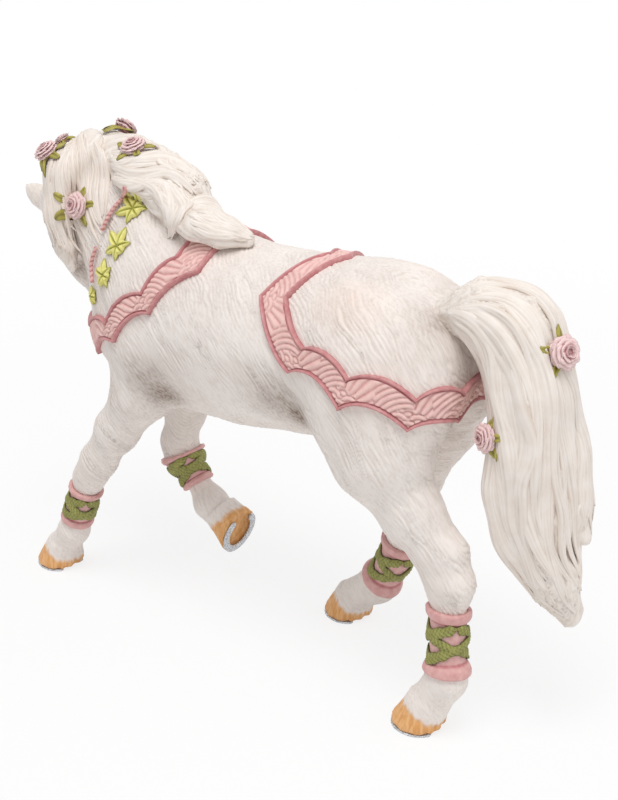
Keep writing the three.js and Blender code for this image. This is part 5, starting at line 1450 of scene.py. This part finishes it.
def plate(at, frame, reach_of, rise_of, wall, lift):
    """A thin leaf lying on the surface: its outline and its height over the seat."""
    sides = 132
    shares = np.concatenate([[0.04], np.linspace(0.14, 0.94, 15), [1.0]])[:, None]
    angle = around(sides)[None]
    far = reach_of(angle)
    x, y = shares * far * np.cos(angle), shares * far * np.sin(angle)
    ground = landed(at, frame, x, y)
    flat = ground.reshape(-1, 3)
    on_hair = smooth(0.4, -0.4, hair_field(flat) - coat_field(flat)).reshape(x.shape)
    ground = ground + frame[0] * (lift * on_hair)[..., None]
    rise, shade = rise_of(x, y, angle, shares)
    rim = smooth(1.0, 0.82, shares)
    top = ground + frame[0] * (wall * (0.35 + 0.65 * rim) * rise)[..., None]
    under = ground[::-4]
    rings = np.concatenate([top, under])
    shades = np.concatenate([np.broadcast_to(shade, top.shape[:2]), np.ones(under.shape[:2])])
    return loft(rings, recess=shades)


LOBES = dict(zip(np.radians([0, 60, 120, 180, 240, 300]), [1, 0.86, 0.62, 0.4, 0.62, 0.86]))
NOTCH = 0.36  # how far out an ivy leaf's notches lie, as a share of its longest lobe


def ivy_leaf(at, turn, far):
    def reach_of(angle):
        r = NOTCH * np.ones_like(angle)
        for middle, size in LOBES.items():
            off = np.abs((angle - middle + math.pi) % (2 * math.pi) - math.pi)
            r = np.maximum(r, size * np.clip(1 - off / 0.75, 0, 1) ** 0.8)
        return far * r

    def rise_of(x, y, angle, shares):
        vein = np.full(np.broadcast(x, angle).shape, FAR)
        for middle in LOBES:
            along = x * math.cos(middle) + y * math.sin(middle)
            aside = np.abs(y * math.cos(middle) - x * math.sin(middle))
            vein = np.minimum(vein, np.where(along > 0, aside, FAR))
        groove = np.exp(-((vein / 0.2) ** 2))
        pillow = 0.75 + 0.65 * np.clip(vein / 0.8, 0, 1) ** 0.8 * smooth(1.0, 0.5, shares)
        # Painted shade in the vein grooves and along the sloping rim.
        return pillow - 0.35 * groove, np.clip(groove * 1.1 + 0.25 * smooth(0.75, 1, shares), 0, 1)

    return plate(at, trim_frame(at, turn), reach_of, rise_of, LEAF_WALL, UNDER_HAIR)


def sepal_star(at, size):
    """Five pointed sepals round a rose."""
    near, far = ROSE_RADIUS * size * 0.7, SEPAL_REACH * size

    def reach_of(angle):
        point = np.abs(np.cos(2.5 * angle))
        return near + (far - near) * np.clip((point - 0.6) / 0.4, 0, 1) ** 1.1

    def rise_of(x, y, angle, shares):
        off = np.abs((5 * angle / (2 * math.pi) + 0.5) % 1 - 0.5) / 5 * 2 * math.pi
        aside = np.hypot(x, y) * np.sin(off)
        rib = np.exp(-((aside / 0.22) ** 2))
        # Painted shade in each sepal's sunk rib.
        return 0.85 + 0.4 * np.clip(aside / 0.5, 0, 1) * smooth(1, 0.6, shares) - 0.2 * rib, 0.55 * rib + 0.15

    return plate(at, trim_frame(at, 90), reach_of, rise_of, SEPAL_WALL, OVER_HAIR)


# Each whorl of petals: their number, how far out and up they stand, and how far their rims curl down
WHORLS = [
    (5, 0.92, 0.02, 0.3), (5, 1.0, 0.36, 0.16), (5, 0.84, 0.68, 0.16), (4, 0.6, 0.9, 0.12), (3, 0.36, 1.0, 0.03),
]
PETAL = 0.3  # a petal's thickness


def rose_flower(at, size, seed):
    """A rose: a stem, a dome and whorls of ruffled petals round it."""
    rng = np.random.default_rng(seed)
    frame = trim_frame(at)
    n, u, v = frame
    foot = landed(at, frame, np.zeros(1), np.zeros(1))[0]
    base = SEPAL_WALL * 1.3 + SEAT + 0.3
    radius, height = ROSE_RADIUS * size, ROSE_HEIGHT * size - base

    def placed(r, angle, z):
        r, angle, z = np.broadcast_arrays(r, angle, z)
        return (foot + n * (base + z)[..., None] + u * (r * np.cos(angle))[..., None]
                + v * (r * np.sin(angle))[..., None])

    t = np.linspace(0, 1, 10)[:, None]
    dome = placed(radius * 0.72 * np.sqrt(1 - 0.94 * t**2), around(24)[None], height * 0.72 * t)
    stem = placed(radius * 0.6, around(24)[None], 0.2 - base)
    # The dome in the flower's heart is dark as painted shade.
    parts = [loft(np.concatenate([stem, dome]), recess=0.9)]
    a = np.linspace(-1, 1, 13)[None]
    b = np.linspace(0, 1, 11)[:, None]
    for count, out, up, curl in WHORLS:
        turn = rng.uniform(0, 2 * math.pi)
        wide = 2 * math.pi / count * 0.68
        for k in range(count):
            angle = turn + 2 * math.pi * k / count + a * wide * (0.75 + 0.25 * b) + 0.12 * b
            cup = 1 - 0.08 * a**2
            ruffle = np.sin(7 * a + 2.1 * k) * b**3
            r = radius * (0.25 + (out - 0.25) * b**1.2) * cup * (1 + 0.07 * a + 0.05 * ruffle)
            z = up * np.sin(b * 1.75) / math.sin(1.75) * (1 - 0.12 * np.abs(a) ** 3) - curl * b**6
            z = np.maximum(height * z, 0.3 - base) - 0.05 * height * a + 0.08 * ruffle
            front = placed(r, angle, z)
            back = placed(np.maximum(r - PETAL, 0.05), angle, z - 0.4 * PETAL)
            rings = np.concatenate([front, back[:, ::-1]], 1)
            # Painted shade: each petal darkens towards its base, deep in the flower, and is lightest at its rim.
            tone = np.concatenate([0.95 - 1.1 * b + 0 * a, 1 - 0.6 * b + 0 * a], 1)
            parts.append(loft(rings, recess=np.clip(tone, 0, 1)))
    return merged(parts)


def bead_cord(path):
    """A cord of two twisted strands lying on the surface."""
    count = max(2, round(length_of(curve(path, 60)) / BEAD_PITCH))
    steps = count * 14 + 1
    line = settle(core_field, curve(path, steps))
    n = eased(unit(gradient(core_field, line)), 3, ways=True)
    way = ways(line)
    side = unit(np.cross(n, way))
    phi = around(16)
    phase = np.linspace(0, count * 1.4, steps)[:, None] + phi[None] / (2 * math.pi)
    bulge = np.abs(np.sin(math.pi * phase)) ** 0.7
    thick = BEAD_RADIUS * (0.5 + 0.25 * bulge)
    centre = line + n * (SEAT + BEAD_RADIUS)
    rings = centre[:, None] + n[:, None] * (thick * np.cos(phi))[..., None]
    rings = rings + side[:, None] * (thick * np.sin(phi))[..., None]
    # Painted shade in the pinches between the beads.
    return loft(rings, recess=1.25 - bulge)


def make_small_trim():
    for i, (at, size) in enumerate(ROSES, 1):
        piece(f"sepals_{i}_star", sepal_star(at, size), SEPAL, [f"sepals_{i}"])
        piece(f"rose_{i}_petals", rose_flower(at, size, 60 + i), ROSE, [f"rose_{i}"])
    for i, (at, turn, far) in enumerate(LEAVES, 1):
        piece(f"leaf_{i}_ivy", ivy_leaf(at, turn, far), LEAF, [f"leaf_{i}"])
    for name, path in CORDS.items():
        piece(name + "_beads", bead_cord(path), PINK, [name])


make_coat()
make_ears()
make_eyes()
make_hair()
make_small_trim()
make_band("breast_collar_band", COLLAR, ["breast_collar"])
make_band("crupper_band_strip", CRUPPER, ["crupper_band"])
for leg_name, leg_table in LEGS.items():
    make_wrap(leg_name, leg_table)
    make_shoe(leg_name, leg_table)

# Stage: the camera that took the photo, in mm and degrees
CAMERA_TARGET = np.array([-7.5, 0, 53.9])
CAMERA_AZIMUTH, CAMERA_HEIGHT, CAMERA_ROLL = 218.4, 21.9, 0.2
CAMERA_AWAY = 300
FOCAL_PIXELS = 1520
PHOTO_HEIGHT = 800
SENSOR = 36


def make_camera():
    a, e, r = (math.radians(v) for v in (CAMERA_AZIMUTH, CAMERA_HEIGHT, CAMERA_ROLL))
    back = np.array([math.sin(a) * math.cos(e), -math.cos(a) * math.cos(e), math.sin(e)])
    right = np.array([math.cos(a), math.sin(a), 0])
    up = np.cross(back, right)
    right, up = right * math.cos(r) + up * math.sin(r), -right * math.sin(r) + up * math.cos(r)
    data = bpy.data.cameras.new("photo_camera")
    data.sensor_width = SENSOR
    data.lens = FOCAL_PIXELS / PHOTO_HEIGHT * SENSOR
    data.clip_start, data.clip_end = 0.01, 20  # metres
    camera = bpy.data.objects.new("photo_camera", data)
    bpy.context.scene.collection.objects.link(camera)
    place = (CAMERA_TARGET + SHIFT + back * CAMERA_AWAY) / 1000
    rows = [[right[i], up[i], back[i], place[i]] for i in range(3)] + [[0, 0, 0, 1]]
    camera.matrix_world = Matrix(rows)
    bpy.context.scene.camera = camera


LIT = Vector((0, 0, 0.05))  # what the lamps point at


def make_lamp(name, place, size, watts):
    data = bpy.data.lights.new(name, "AREA")
    data.size = size
    data.energy = watts
    lamp = bpy.data.objects.new(name, data)
    lamp.location = place
    bpy.context.scene.collection.objects.link(lamp)
    lamp.rotation_euler = (LIT - Vector(place)).to_track_quat("-Z", "Y").to_euler()


FLOOR_NEAR, FLOOR_FAR = 0.09, 0.3  # metres from the origin between which the floor's shade fades out
FLOOR_GLOW = 0.8  # the floor's share of its own white beside the feet
FLOOR_REACH = 3.0  # metres each way


def make_floor():
    mesh = bpy.data.meshes.new("floor")
    r = FLOOR_REACH
    mesh.from_pydata([(-r, -r, 0), (r, -r, 0), (r, r, 0), (-r, r, 0)], [], [(0, 1, 2, 3)])
    floor = bpy.data.objects.new("floor", mesh)
    bpy.context.scene.collection.objects.link(floor)
    g = Graph("floor_white")
    diffuse = g.node("BsdfDiffuse", {"Color": (0.9, 0.9, 0.9, 1)})
    glow = g.node("Emission", {"Color": (1, 1, 1, 1), "Strength": 1.0})
    apart = g.node("VectorMath", (g.place,), "Value", operation="LENGTH")
    lit = g.span(apart, FLOOR_NEAR, FLOOR_FAR, FLOOR_GLOW, 1.0)
    shown = g.node("MixShader", (lit, diffuse, glow))
    g.put(g.nodes["Material Output"].inputs["Surface"], g.node("MixShader", (g.seen(), diffuse, shown)))
    mesh.materials.append(g.owner)


WORLD_LEVEL = 0.53  # how strongly the surroundings light the figure; seen straight on they are white
LAMPS = {"key": ((-0.16, 0.28, 0.95), 0.45, 4.9), "fill": ((-0.7, -0.3, 0.5), 0.6, 1.0)}  # place, size, watts


def make_world():
    g = Graph("studio", bpy.data.worlds)
    background = g.nodes["Background"]
    g.put(background.inputs["Color"], (1, 1, 1, 1))
    g.put(background.inputs["Strength"], g.span(g.seen(), 0, 1, WORLD_LEVEL, 1.0))
    bpy.context.scene.world = g.owner


make_camera()
make_floor()
make_world()
for lamp_name, lamp_table in LAMPS.items():
    make_lamp(lamp_name, *lamp_table)
bpy.context.scene.view_settings.view_transform = "Standard"
